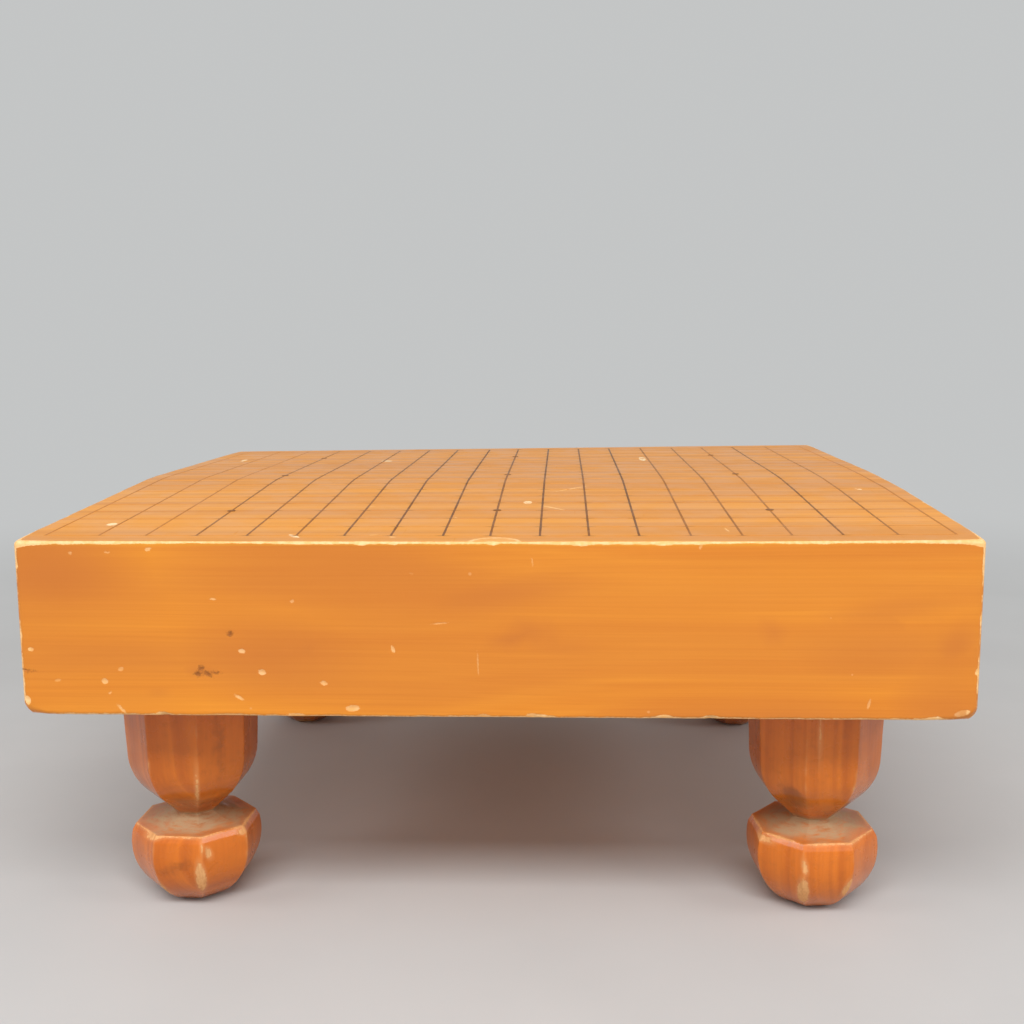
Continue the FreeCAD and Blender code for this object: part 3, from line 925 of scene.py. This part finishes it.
def round_block(points, settings):
    """Turns the lattice box into the worn block: crown, corners, rims, chips and dents."""
    x, y = points[:, 0].copy(), points[:, 1].copy()
    top = top_height(x, y, settings)
    z = UNDERSIDE + points[:, 2] * (top - UNDERSIDE)
    radius = settings.corner_radius
    dx, dy = HALF_LENGTH - np.abs(x), HALF_DEPTH - np.abs(y)
    inset = np.minimum(dx, dy)
    drop = np.minimum(top - z, z - UNDERSIDE)
    upper = (top - z) < (z - UNDERSIDE)
    p, q = np.maximum(radius - dx, 0), np.maximum(radius - dy, 0)
    reach = np.maximum(p, q)
    in_corner = (p > 0) & (q > 0)
    ratio = np.minimum(p, q) / np.maximum(reach, 1e-9)
    angle = np.where(p >= q, ratio, 2 - ratio) * math.pi / 4
    normal_x = np.where(in_corner, np.cos(angle), dx <= dy)
    normal_y = np.where(in_corner, np.sin(angle), dx > dy)
    plan_x = np.where(in_corner, HALF_LENGTH - radius + reach * normal_x, np.abs(x))
    plan_y = np.where(in_corner, HALF_DEPTH - radius + reach * normal_y, np.abs(y))
    sign_x, sign_y = np.where(x < 0, -1, 1), np.where(y < 0, -1, 1)

    unworn = np.stack([plan_x * sign_x, plan_y * sign_y, z], 1)
    rounding, _, chip = rim_wear(unworn, settings)
    turn_in = np.clip(1 - inset / rounding, 0, 1) * math.pi / 4
    turn_down = np.clip(1 - drop / rounding, 0, 1) * math.pi / 4
    near_rim = (inset < rounding) & (drop < rounding)
    on_cap = drop <= inset
    round_inset = rounding * (1 - np.where(on_cap, np.sin(turn_in), np.cos(turn_down)))
    round_drop = rounding * (1 - np.where(on_cap, np.cos(turn_in), np.sin(turn_down)))
    worn_inset = np.where(near_rim, round_inset, inset)
    worn_drop = np.where(near_rim, round_drop, drop)
    cut = np.clip(chip - worn_inset - worn_drop, 0, None) / 2
    worn_inset += cut
    worn_drop += cut

    shift = worn_inset - inset
    plan_x -= shift * normal_x
    plan_y -= shift * normal_y
    z = np.where(upper, top - worn_drop, UNDERSIDE + worn_drop)
    on_front = (dy <= dx) & (y < 0) & (drop > inset)
    on_top = (drop <= inset) & upper
    _, front_dent = inside_marks(x, z - UNDERSIDE, FRONT_CHIPS + FRONT_KNOTS)
    _, top_dent = inside_marks(x, y, TOP_CHIPS)
    plan_y -= np.where(on_front, front_dent, 0)
    z -= np.where(on_top, top_dent, 0)
    return np.stack([plan_x * sign_x, plan_y * sign_y, z], 1)


def recess_cutter(settings, material):
    """The pyramid recess, with the unevenness of chiselled flats."""
    lattice, polygons = box_skin(RECESS_STEPS, 1, None)
    places = lattice / RECESS_STEPS
    z = -CUTTER_SLACK + places[:, 2] * (settings.recess_depth + CUTTER_SLACK)
    spread = (settings.recess_mouth - settings.recess_floor) / 2 / settings.recess_depth
    half = settings.recess_mouth / 2 - spread * z
    rough = 0.0004 * ripple(places, 0.13, 6.0) + 0.00025 * ripple(places, 0.06, 7.0)
    bend = 1 + (rough / np.maximum(half, 0.01))[:, None]
    plan = (places[:, :2] * 2 - 1) * half[:, None] * bend
    height = UNDERSIDE + z + rough * (places[:, 2] > 0.99)
    return mesh_object("recess_cutter", np.column_stack([plan, height]), polygons, material)


def mortise_cutter(place, settings, material):
    """The round hole for the tenon of the leg at that place."""
    rings = bmesh.new()
    depth = settings.mortise_depth + CUTTER_SLACK
    at = Matrix.Translation((place[0], place[1], UNDERSIDE - CUTTER_SLACK + depth / 2))
    bmesh.ops.create_cone(
        rings, cap_ends=True, segments=96, radius1=settings.mortise_width / 2,
        radius2=settings.mortise_width / 2, depth=depth, matrix=at,
    )
    return object_of(rings, "mortise_cutter", material)


def cut_away(made, cutters):
    """Applies the cutters to the piece, and removes them."""
    for cutter in cutters:
        tool = made.modifiers.new("cut", "BOOLEAN")
        tool.operation = "DIFFERENCE"
        tool.solver = "MANIFOLD"
        tool.object = cutter
    evaluated = made.evaluated_get(bpy.context.evaluated_depsgraph_get())
    result = bpy.data.meshes.new_from_object(evaluated)
    made.modifiers.clear()
    made.data = result
    result.name = made.name
    for cutter in cutters:
        bpy.data.objects.remove(cutter)


def leg_places():
    """The place of each leg's foot on the floor, by the leg's name."""
    return {
        mount["name"].replace("_foot", "_leg"): mount["pos_m"]
        for mount in frame["record"]["mounts"]
    }


def block_fields(made, settings):
    """Stores on the block where it is bare, stained, cloudy and raw inside its holes."""
    points = mesh_points(made)
    x, y, z = points.T
    up = z - UNDERSIDE
    dx, dy = HALF_LENGTH - np.abs(x), HALF_DEPTH - np.abs(y)
    top = top_height(x, y, settings)
    inset, drop = np.minimum(dx, dy), np.minimum(top - z, up)
    _, rim_bare, _ = rim_wear(points, settings)
    rim = rim_bare - np.hypot(inset, drop) * 1.25
    side_bare = 0.0002 + 0.0009 * ripple(points, 0.02, 8.0) + 0.0005 * ripple(points, 0.005, 9.0)
    upright = side_bare - (np.hypot(dx, dy) * 1.1 - 0.45 * settings.corner_radius)
    on_front = y < -HALF_DEPTH + FRONT_SKIN
    on_top = z > top - TOP_SKIN
    chips, _ = inside_marks(x, up, FRONT_CHIPS)
    scratches, _ = inside_marks(x, y, TOP_CHIPS)
    knots, _ = inside_marks(x, up, FRONT_KNOTS)
    _, cloud = inside_marks(x, up, [m._replace(depth=m.depth / MM) for m in FRONT_CLOUDS])
    on_skin = on_top & (drop < THIN_SKIN)
    crescent, pressed = (np.where(on_skin, f, NOT_WORN) for f in crescent_inside(x, y))
    bare = np.maximum(rim, upright)
    bare = np.where(on_front, np.maximum(bare, chips), bare)
    worn = np.maximum.reduce([scratches, crescent, pressed])
    bare = np.where(on_top, np.maximum(bare, worn), bare)
    in_hole = np.minimum(inset - 0.004, up - 0.0002)
    in_recess = np.maximum(np.abs(x), np.abs(y)) < settings.recess_mouth / 2 + 0.001
    raw = np.where((in_hole > 0) & (top - z > 0.02) & ~in_recess, BARE_THROUGH, NOT_WORN)

    faint, _ = inside_marks(x, up, [m for m in FRONT_CHIPS if m.depth <= FAINT_DEPTH])
    fresh_and_glint, _ = inside_marks(x, y, [m for m in TOP_CHIPS if m.depth >= FRESH_GLINT_DEPTH])
    inner = on_front & (chips > -0.0012) & (chips > rim) & (dx > 0.006)
    chipped = np.where(faint >= chips, FAINT_STRENGTH, CHIP_STRENGTH)
    strength = np.where(inner, chipped, 1.0)
    strength = np.where((pressed > 0) & (crescent < 0) & (rim < 0), PRESSED_STRENGTH, strength)
    # The deepest chips of the top get raw wood with a painted glint.
    strength = np.where(on_top & (fresh_and_glint > -0.0003) & (fresh_and_glint > rim), FRESH_GLINT_STRENGTH, strength)

    set_field(made, "bare", np.clip(np.maximum(bare, raw), NOT_WORN, BARE_THROUGH))
    set_field(made, "knot", np.where(on_front, knots, NOT_WORN))
    set_field(made, "strength", strength)
    # Painted sheen, on the top only.
    set_field(made, "sunned", on_top * PAINTED_TOP_SHEEN_SHARE)
    set_field(made, "cloud", np.where(on_front, cloud, 0))


class GOBAN_OT_block(bpy.types.Operator):
    """Build the worn block with its crowned top, mortises and recess"""
    bl_idname = "goban.block"
    bl_label = "Block"

    def execute(self, context):
        settings = context.scene.goban_block
        make_effects()
        material = board_material(settings)
        counts = np.array(BLOCK_STEPS)
        lattice, polygons = box_skin(BLOCK_STEPS, COARSEST, block_fineness(counts))
        start = np.array([-HALF_LENGTH, -HALF_DEPTH, 0])
        size = np.array([2 * HALF_LENGTH, 2 * HALF_DEPTH, 1])
        points = round_block(start + lattice / counts * size, settings)
        block = mesh_object("board_worn", points, polygons, material)
        cutters = [mortise_cutter(place, settings, material) for place in leg_places().values()]
        cutters.append(recess_cutter(settings, material))
        cut_away(block, cutters)
        block_fields(block, settings)
        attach(block, "block")
        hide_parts("board")
        return {"FINISHED"}


# Grid and star points


def line_centres(low, high, settings, extra):
    """Centres of the lines between the outer sides of the first and last, given end cells."""
    first, last = low + settings.line_width / 2, high - settings.line_width / 2
    cell = (last - first - 2 * extra) / (settings.lines - 1)
    middle = (first + last) / 2
    inner = [middle + cell * (i - (settings.lines - 1) / 2) for i in range(1, settings.lines - 1)]
    return [first] + inner + [last]


def crossings(settings):
    """The places across and along the board at which the lines stand."""
    xs = line_centres(LINES_LOW.x, LINES_HIGH.x, settings, settings.end_cell_extra)
    ys = line_centres(LINES_LOW.y, LINES_HIGH.y, settings, 0)
    return [x + shift * MM for x, shift in zip(xs, LINE_SHIFT)], ys


def line_net(xs, ys, settings):
    """Flat crossings, joined by strips whose sides waver a little."""
    away_half, cross_half = settings.line_width / 2, settings.cross_width / 2
    net = bmesh.new()
    index = {}

    def vertex(x, y):
        key = (round(x, 6), round(y, 6))
        if key not in index:
            index[key] = net.verts.new((x, y, 0))
        return index[key]

    def stroke(start, end, place, half, along_x):
        sides = []
        for number in range(STROKE_STEPS + 1):
            step = start + (end - start) * number / STROKE_STEPS
            free = 0 < number < STROKE_STEPS
            spot = Vector((step, place, 0.3 if along_x else 0.7)) * 130
            waver = WAVER * half * noise.noise(spot) * free
            swell = 1 + SWELL * noise.noise(spot * 1.7) * free
            pair = [place + waver - half * swell, place + waver + half * swell]
            sides.append([vertex(step, p) if along_x else vertex(p, step) for p in pair])
        for (a, b), (c, d) in zip(sides, sides[1:]):
            net.faces.new((a, c, d, b) if along_x else (a, b, d, c))

    for x in xs:
        for y in ys:
            corners = [(-1, -1), (1, -1), (1, 1), (-1, 1)]
            net.faces.new([vertex(x + i * away_half, y + j * cross_half) for i, j in corners])
    for y in ys:
        for left, right in zip(xs, xs[1:]):
            stroke(left + away_half, right - away_half, y, cross_half, True)
    for x in xs:
        for near, far in zip(ys, ys[1:]):
            stroke(near + cross_half, far - cross_half, x, away_half, False)
    return net


def thicken_lines(net, settings):
    """Raises the net into lacquer with a lower border."""
    raised = bmesh.ops.extrude_face_region(net, geom=net.faces[:])["geom"]
    for vertex in (part for part in raised if isinstance(part, bmesh.types.BMVert)):
        vertex.co.z = settings.sunk + settings.thickness * BORDER_SHARE
    caps = [part for part in raised if isinstance(part, bmesh.types.BMFace)]
    bmesh.ops.inset_region(
        net, faces=caps, thickness=STROKE_BORDER, depth=0.0, use_even_offset=True,
    )
    for vertex in {v for face in caps for v in face.verts}:
        vertex.co.z = settings.sunk + settings.thickness
    bmesh.ops.recalc_face_normals(net, faces=net.faces[:])


def line_fading(points, xs, settings):
    """How worn the lacquer is: the lines across are almost gone, the others differ."""
    line = np.abs(points[:, :1] - np.array(xs)[None]).argmin(1)
    off = np.abs(points[:, 0] - np.array(xs)[line])
    across = 1.26 + 0.25 * ripple(points * (0.1, 1, 1), 0.02, 11.0)
    outer = np.clip(np.abs(points[:, 0]) / HALF_LENGTH - 0.5, 0, 1) * 0.7
    away = 0.08 + outer * np.clip((points[:, 1] + 0.06) / 0.2, 0, 1)
    on_line = off < settings.line_width * 0.75
    faded = np.where(on_line, np.array(LINE_FADE)[line] + away, across)
    return np.clip(faded + 0.22 * ripple(points, 0.03, 12.0), 0, 1.4)


class GOBAN_OT_lines(bpy.types.Operator):
    """Brush the grid of raised lacquer lines on the top"""
    bl_idname = "goban.lines"
    bl_label = "Grid Lines"

    def execute(self, context):
        settings, block = context.scene.goban_lacquer, context.scene.goban_block
        make_effects()
        xs, ys = crossings(settings)
        net = line_net(xs, ys, settings)
        thicken_lines(net, settings)
        points, faces = points_and_faces(net)
        points[:, 2] += top_height(*points.T[:2], block) - settings.sunk
        made = mesh_object("grid_lines_brushed", points, faces, lacquer_material(settings))
        set_field(made, "faded", line_fading(points, xs, settings))
        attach(made, "block")
        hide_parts("grid_lines")
        return {"FINISHED"}


def star_outline(settings):
    """Rings of a star point from its underside to its middle: share of its radius, height."""
    shares = ((1.0, 0.45), (0.96, 0.72), (0.86, 0.88), (0.6, 0.96), (0.3, 1.0))
    rings = [(share, height * settings.star_height) for share, height in shares]
    return [(1.0, -settings.sunk)] + rings


class GOBAN_OT_stars(bpy.types.Operator):
    """Drop the nine star points on their crossings"""
    bl_idname = "goban.stars"
    bl_label = "Star Points"

    def execute(self, context):
        settings, block = context.scene.goban_lacquer, context.scene.goban_block
        make_effects()
        xs, ys = crossings(settings)
        outline = star_outline(settings)
        points, polygons = [], []
        picked = (3, settings.lines // 2, settings.lines - 4)
        for x, y in ((xs[i], ys[j]) for i in picked for j in picked):
            first = len(points)
            for share, rise in outline:
                for turn in range(STAR_TURNS):
                    angle = 2 * math.pi * turn / STAR_TURNS
                    heading = Vector((math.cos(angle), math.sin(angle), 0))
                    wobble = 0.05 * noise.noise(heading * 1.4 + Vector((x, y, 0)) * 90)
                    spot = heading * (settings.star_diameter / 2) * share * (0.96 + wobble)
                    points.append((x + spot.x, y + spot.y, rise))
            polygons += tube_faces(first, len(outline), STAR_TURNS)
            polygons.append(list(reversed(range(first, first + STAR_TURNS))))
            polygons.append(list(range(len(points) - STAR_TURNS, len(points))))
        points = np.array(points)
        points[:, 2] += top_height(*points.T[:2], block)
        points[:, 2] = np.minimum(points[:, 2], STARS_TOP)
        material = bpy.data.materials.get("brushed_lacquer") or lacquer_material(settings)
        made = mesh_object("star_points_dropped", points, polygons, material)
        set_field(made, "faded", 0.12 + 0.3 * ripple(points, 0.003, 13.0))
        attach(made, "block")
        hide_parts("star_points")
        return {"FINISHED"}


# Legs


def leg_turn(name, place, settings):
    """How far the leg is turned in its mortise: the angle of its ridges from the plain octagon."""
    points = mesh_points(frame["nodes"][name])
    away = points[points[:, 2] < UNDERSIDE - 0.001, :2] - np.array(place[:2])
    reach = np.hypot(*away.T)
    ridge = away[reach > reach.max() - 1e-5][0]
    facet = 2 * math.pi / settings.sides
    return math.atan2(ridge[1], ridge[0]) % facet - facet / 2


def leg_outline(name, place, settings):
    """Half width across flats against height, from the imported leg's ridges and tenon."""
    points = mesh_points(frame["nodes"][name])
    radii = np.hypot(points[:, 0] - place[0], points[:, 1] - place[1])
    widest = {}
    for z, r in zip(np.round(points[:, 2], 6).tolist(), radii.tolist()):
        if z <= UNDERSIDE + 1e-6:
            widest[z] = max(widest.get(z, 0), r)
    flat = math.cos(math.pi / settings.sides)
    outline = [(0.0, 0.0)] + [(r * flat, z) for z, r in sorted(widest.items())]
    tenon, tip = settings.tenon_width / 2, points[:, 2].max()
    outline += [(tenon, UNDERSIDE), (tenon, tip - 0.001), (tenon - 0.001, tip), (0.0, tip)]
    return np.array(outline)


def soften_outline(outline, reach):
    """The outline with its corners rounded, as rows closer together where it bends."""
    lengths = np.hypot(*np.diff(outline, axis=0).T)
    outline = outline[np.concatenate([[True], lengths > 1e-7])]
    along = np.concatenate([[0], np.cumsum(np.hypot(*np.diff(outline, axis=0).T))])
    fine = np.arange(0, along[-1], OUTLINE_STEP)

    def at(distances):
        distances = np.clip(distances, 0, along[-1])
        return np.stack([np.interp(distances, along, side) for side in outline.T], 1)

    steps = np.linspace(-1, 1, 9) * reach
    soft = np.mean([at(fine + step) for step in steps], axis=0)
    soft[0], soft[-1] = outline[0], outline[-1]
    heading = np.unwrap(np.arctan2(*np.diff(soft, axis=0).T[::-1]))
    bend = np.concatenate([[0], np.abs(np.diff(heading)), [0]])
    effort = np.cumsum(OUTLINE_STEP / ROW_LENGTH + bend / ROW_BEND)
    rows = np.unique(np.searchsorted(effort, np.arange(0, effort[-1])))
    return soft[np.unique(np.append(rows, len(soft) - 1))]


def facet_angles(settings):
    """Directions round a leg, from a flat's middle, close together at the ridges."""
    half = math.pi / settings.sides
    shares = (0, 0.03, 0.07, 0.12, 0.19, 0.30, 0.48, 0.72)
    one = [-half + half * s for s in shares] + [half - half * s for s in reversed(shares)][:-1]
    one.insert(len(shares), 0.0)
    return np.array([side * 2 * half + angle for side in range(settings.sides) for angle in one])


def around(place, facing, radius, height):
    """Points round a leg's axis: rings at those heights, in the directions of facing."""
    heading = np.stack([np.cos(facing), np.sin(facing)], 1)
    plan = np.array(place[:2]) + radius[..., None] * heading
    return np.dstack([plan, np.broadcast_to(height, radius.shape)])


def rubbed_radius(apothem, to_ridge, worn, half):
    """Distance from the axis on flats of that apothem, with ridges rubbed to a worn radius."""
    centre = (apothem - worn) / math.cos(half)
    under = worn ** 2 - (centre * np.sin(to_ridge)) ** 2
    on_ridge = centre * np.cos(to_ridge) + np.sqrt(np.maximum(under, 0))
    on_flat = apothem / np.cos(half - to_ridge)
    tangent = np.arctan2(worn * math.sin(half), centre + worn * math.cos(half))
    return np.where(to_ridge < tangent, on_ridge, on_flat)


def wear_patches(name, facing, height, arc, radius):
    """The radius with the dents of the leg's patches, and how far inside them points lie."""
    inside = {tone: np.full(radius.shape, NOT_WORN) for tone in ("bare", "stain")}
    for patch in LEG_PATCHES[name]:
        off = (facing - math.radians(patch.direction) + math.pi) % (2 * math.pi) - math.pi
        row = np.abs(height - patch.height * MM).argmin()
        up = np.broadcast_to(arc - arc[row], radius.shape)
        mark = Mark(0, 0, patch.across, patch.tall, patch.turn, patch.depth)
        here, dent = inside_marks((off * radius).ravel(), up.ravel(), [mark])
        inside[patch.tone] = np.maximum(inside[patch.tone], here.reshape(radius.shape))
        radius = radius - dent.reshape(radius.shape)
    return radius, inside


def dust_darkening_and_shade(height, apothem, past_rim, slow, arc):
    """Dust on the level top of the bud, darkening at the neck and the foot, and painted shade
    under the block.
    """
    in_neck = (height > NECK_BETWEEN[0]) & (height < NECK_BETWEEN[1])
    past_neck = arc - arc[np.where(in_neck, apothem, 1).argmin()]
    dust = np.clip(past_rim / DUST_THICKENS + 0.25 + 0.5 * slow, 0, 1)
    dust = dust * (past_rim > DUST_STARTS) * np.clip((DUST_ENDS - past_neck) / DUST_THINS, 0, 1)
    patchy = 0.45 + 1.5 * np.clip(slow + 0.3, 0, 1)
    grime = np.exp(-((past_neck - NECK_DARKENING) / NECK_DARKENING_SPREAD) ** 2) * patchy
    grime += 0.5 * np.clip(1 - height / FOOT_DARKENING, 0, 1)
    # Painted shade: the leg is darker towards the underside of the block.
    grime += 0.25 * np.exp(-(UNDERSIDE - height) / TOP_PAINTED_SHADE)
    return dust, np.clip(grime * (1 + 0.5 * slow), 0, 1)


def carve_leg(name, place, number, settings, material):
    """One leg: octagonal rings up the outline, ridges rubbed round, patches worn and stained or
    painted with shade.
    """
    rows = soften_outline(leg_outline(name, place, settings), settings.corner_reach)
    rings = rows[1:-1]
    apothem, height = rings[:, :1], rings[:, 1:]
    arc = np.cumsum(np.hypot(*np.diff(rows, axis=0).T))[:-1, None]
    shoulder = np.argmax((rows[:, 1] > UNDERSIDE - 1e-4) & (rows[:, 0] < SHOULDER_RADIUS))
    is_tenon = np.arange(len(rings))[:, None] >= shoulder

    angles = facet_angles(settings)
    facing = angles + leg_turn(name, place, settings)
    half = math.pi / settings.sides
    to_ridge = np.abs(half - np.abs((angles + half) % (2 * half) - half))
    count = (len(rings), len(angles))
    plain = around(place, facing, np.broadcast_to(apothem, count), height).reshape(-1, 3)
    slow, quick, fine = (
        ripple(plain, size, seed + number).reshape(count)
        for size, seed in ((0.014, 20.0), (0.005, 30.0), (0.010, 40.0))
    )

    worn = settings.ridge_radius * (1 + 0.5 * slow + 0.35 * quick)
    worn = worn + 0.0016 * np.clip(slow - 0.25, 0, 1)
    worn = np.minimum(worn, apothem * 0.5)
    radius = rubbed_radius(apothem, to_ridge, worn, half)
    to_tenon = (SHOULDER_RADIUS - apothem) / (SHOULDER_RADIUS - settings.tenon_width / 2)
    round_share = np.where(is_tenon, np.clip(to_tenon, 0, 1), 0)
    radius = radius * (1 - round_share) + apothem * round_share
    carved = settings.carving * (fine - 0.4) * np.minimum(apothem / 0.02, 1)
    radius = radius + np.where(is_tenon, 0, carved)
    radius, inside = wear_patches(name, facing, height, arc, radius)

    past_rim = arc - arc[np.where(height < BUD_TOP, height + apothem * 0.2, 0).argmax()]
    dust, grime = dust_darkening_and_shade(height, apothem, past_rim, slow, arc)
    rubbed = -0.0009 + 0.0012 * slow + 0.0009 * quick - apothem * to_ridge * 0.9
    rim = 0.0005 + 0.0007 * slow + 0.0006 * quick - np.abs(past_rim)
    bare = np.maximum.reduce([inside["bare"], rubbed, rim])
    bare = np.where(dust > 0.3, np.minimum(bare, rim), bare)
    bare = np.where(is_tenon, BARE_THROUGH, bare)

    columns = len(angles)
    points = around(place, facing, radius, height).reshape(-1, 3)
    ends = [(*place[:2], rows[0, 1]), (*place[:2], rows[-1, 1])]
    polygons = tube_faces(0, len(rings), columns)
    foot, last = len(points), len(points) - columns
    for step in range(columns):
        following = (step + 1) % columns
        polygons.append((foot, following, step))
        polygons.append((foot + 1, last + step, last + following))
    leg = mesh_object(name + "_carved", np.vstack([points, ends]), polygons, material)
    for label, values, at_ends in (
        ("bare", bare, [NOT_WORN, BARE_THROUGH]),
        ("stain", inside["stain"], [NOT_WORN, NOT_WORN]),
        ("dust", dust, [0, 0]),
        ("grime", grime, [0, 0]),
        ("climb", arc, [0, 0]),
    ):
        set_field(leg, label, np.append(np.broadcast_to(values, count), at_ends))
    return leg


class GOBAN_OT_legs(bpy.types.Operator):
    """Carve the four gardenia-bud legs with their worn ridges"""
    bl_idname = "goban.legs"
    bl_label = "Legs"

    def execute(self, context):
        settings = context.scene.goban_legs
        make_effects()
        material = leg_material(settings)
        for number, (name, place) in enumerate(leg_places().items()):
            leg = carve_leg(name, place, number, settings, material)
            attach(leg, name)
            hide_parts(name)
        return {"FINISHED"}


# Stage


def soft_lamp(name, place, size, power, target):
    """A rectangular lamp that faces the target."""
    data = bpy.data.lights.new(name, "AREA")
    data.shape = "RECTANGLE"
    data.size, data.size_y = size
    data.energy = power
    lamp = bpy.data.objects.new(name, data)
    lamp.location = place
    lamp.rotation_euler = (Vector(target) - lamp.location).to_track_quat("-Z", "Y").to_euler()
    bpy.context.scene.collection.objects.link(lamp)


def place_camera(settings):
    """The camera of the front view."""
    data = bpy.data.cameras.new("camera")
    data.sensor_width = 36.0
    data.lens = settings.lens
    camera = bpy.data.objects.new("camera", data)
    pitch, roll, yaw = settings.camera_turn
    turned = Matrix.Translation(settings.camera_place)
    for angle, axis in ((yaw, "Z"), (pitch, "X"), (roll, "Z")):
        turned = turned @ Matrix.Rotation(angle, 4, axis)
    camera.matrix_world = turned
    bpy.context.scene.collection.objects.link(camera)
    bpy.context.scene.camera = camera


def seen_by_eye(tree):
    """1 for camera, mirror and glass rays."""
    path = put(tree, "ShaderNodeLightPath").outputs
    either = calc(tree, "MAXIMUM", path["Is Camera Ray"], path["Is Glossy Ray"])
    return calc(tree, "MAXIMUM", either, path["Is Transmission Ray"])


def glowing(tree, kind, colour, strength):
    """An even light of its own: of a surface, or of the world."""
    return put(tree, kind, {"Color": colour, "Strength": strength}).outputs[0]


def make_floor(settings):
    """A wide paper floor that fades into the background away from the board."""
    material, tree = new_material("paper_floor")
    place = object_place(tree)
    distance = put(tree, "ShaderNodeVectorMath", {0: place}, operation="LENGTH").outputs["Value"]
    mottle = fade(tree, grain_noise(tree, place, 9.0, 3.0), 0.3, 0.7)
    duller_paper = [c * 0.97 for c in settings.floor[:3]] + [1.0]
    fibres = grain_noise(tree, place, 1600.0, 3.0, 0.7)
    looks = {
        "Base Color": blend(tree, mottle, settings.floor, duller_paper),
        "Roughness": 0.9, "Specular IOR Level": 0.1,
    }
    paper = shaded(tree, looks, fibres, 0.2, 0.0001)
    glow = glowing(tree, "ShaderNodeEmission", settings.background, 1.0)
    far = calc(tree, "MULTIPLY", fade(tree, distance, 0.5, 1.4), seen_by_eye(tree))
    mixed = put(tree, "ShaderNodeMixShader", {0: far, 1: paper, 2: glow}).outputs[0]
    finish_material(tree, mixed)
    rings = bmesh.new()
    bmesh.ops.create_circle(rings, cap_ends=True, radius=30.0, segments=96)
    floor = object_of(rings, "floor", material)


def make_background(settings):
    """An even light, behind which the eye sees the background's own colour."""
    world = bpy.data.worlds.new("studio")
    world.use_nodes = True
    tree = world.node_tree
    tree.nodes.clear()
    even = glowing(tree, "ShaderNodeBackground", (1, 1, 1, 1), settings.ambient)
    seen = glowing(tree, "ShaderNodeBackground", settings.background, 1.0)
    mixed = put(tree, "ShaderNodeMixShader", {0: seen_by_eye(tree), 1: even, 2: seen}).outputs[0]
    put(tree, "ShaderNodeOutputWorld", {0: mixed})
    bpy.context.scene.world = world


class GOBAN_OT_stage(bpy.types.Operator):
    """Set up the floor, the background, the lamps and the camera"""
    bl_idname = "goban.stage"
    bl_label = "Stage"

    def execute(self, context):
        settings = context.scene.goban_stage
        make_floor(settings)
        make_background(settings)
        middle = (0, 0, 0.12)
        soft_lamp("key_lamp", (0.5, -2.5, 1.2), (2.4, 1.2), settings.key_power, middle)
        soft_lamp("top_lamp", (0.0, -1.8, 2.1), (2.2, 0.8), settings.top_power, middle)
        soft_lamp("left_lamp", (-2.2, -0.9, 1.4), (1.0, 0.6), settings.side_power, middle)
        soft_lamp("right_lamp", (2.2, -0.9, 1.4), (1.0, 0.6), settings.side_power, middle)
        place_camera(settings)
        context.scene.view_settings.view_transform = "Standard"
        return {"FINISHED"}


# Panel and registration


class GOBAN_PT_panel(bpy.types.Panel):
    """Sizes, colours and steps of the board"""
    bl_idname = "GOBAN_PT_panel"
    bl_label = "Go Board"
    bl_space_type = "VIEW_3D"
    bl_region_type = "UI"
    bl_category = "Go Board"

    def draw(self, context):
        steps = (
            ("goban_block", (GOBAN_OT_block,)),
            ("goban_lacquer", (GOBAN_OT_lines, GOBAN_OT_stars)),
            ("goban_legs", (GOBAN_OT_legs,)),
            ("goban_stage", (GOBAN_OT_stage,)),
        )
        for group, operators in steps:
            box = self.layout.box()
            settings = getattr(context.scene, group)
            for name in settings.__annotations__:
                box.prop(settings, name)
            for operator in operators:
                box.operator(operator.bl_idname)


SETTINGS = {
    "goban_block": BlockSettings,
    "goban_lacquer": LacquerSettings,
    "goban_legs": LegSettings,
    "goban_stage": StageSettings,
}
OPERATORS = (GOBAN_OT_block, GOBAN_OT_lines, GOBAN_OT_stars, GOBAN_OT_legs, GOBAN_OT_stage)


def register():
    for name, group in SETTINGS.items():
        bpy.utils.register_class(group)
        setattr(bpy.types.Scene, name, bpy.props.PointerProperty(type=group))
    for kind in OPERATORS + (GOBAN_PT_panel,):
        bpy.utils.register_class(kind)


def unregister():
    for kind in (GOBAN_PT_panel,) + OPERATORS[::-1]:
        bpy.utils.unregister_class(kind)
    for name, group in SETTINGS.items():
        delattr(bpy.types.Scene, name)
        bpy.utils.unregister_class(group)


def main():
    register()
    bpy.ops.goban.block()
    bpy.ops.goban.lines()
    bpy.ops.goban.stars()
    bpy.ops.goban.legs()
    bpy.ops.goban.stage()
    bpy.context.view_layer.update()


if __name__ == "__main__":
    main()
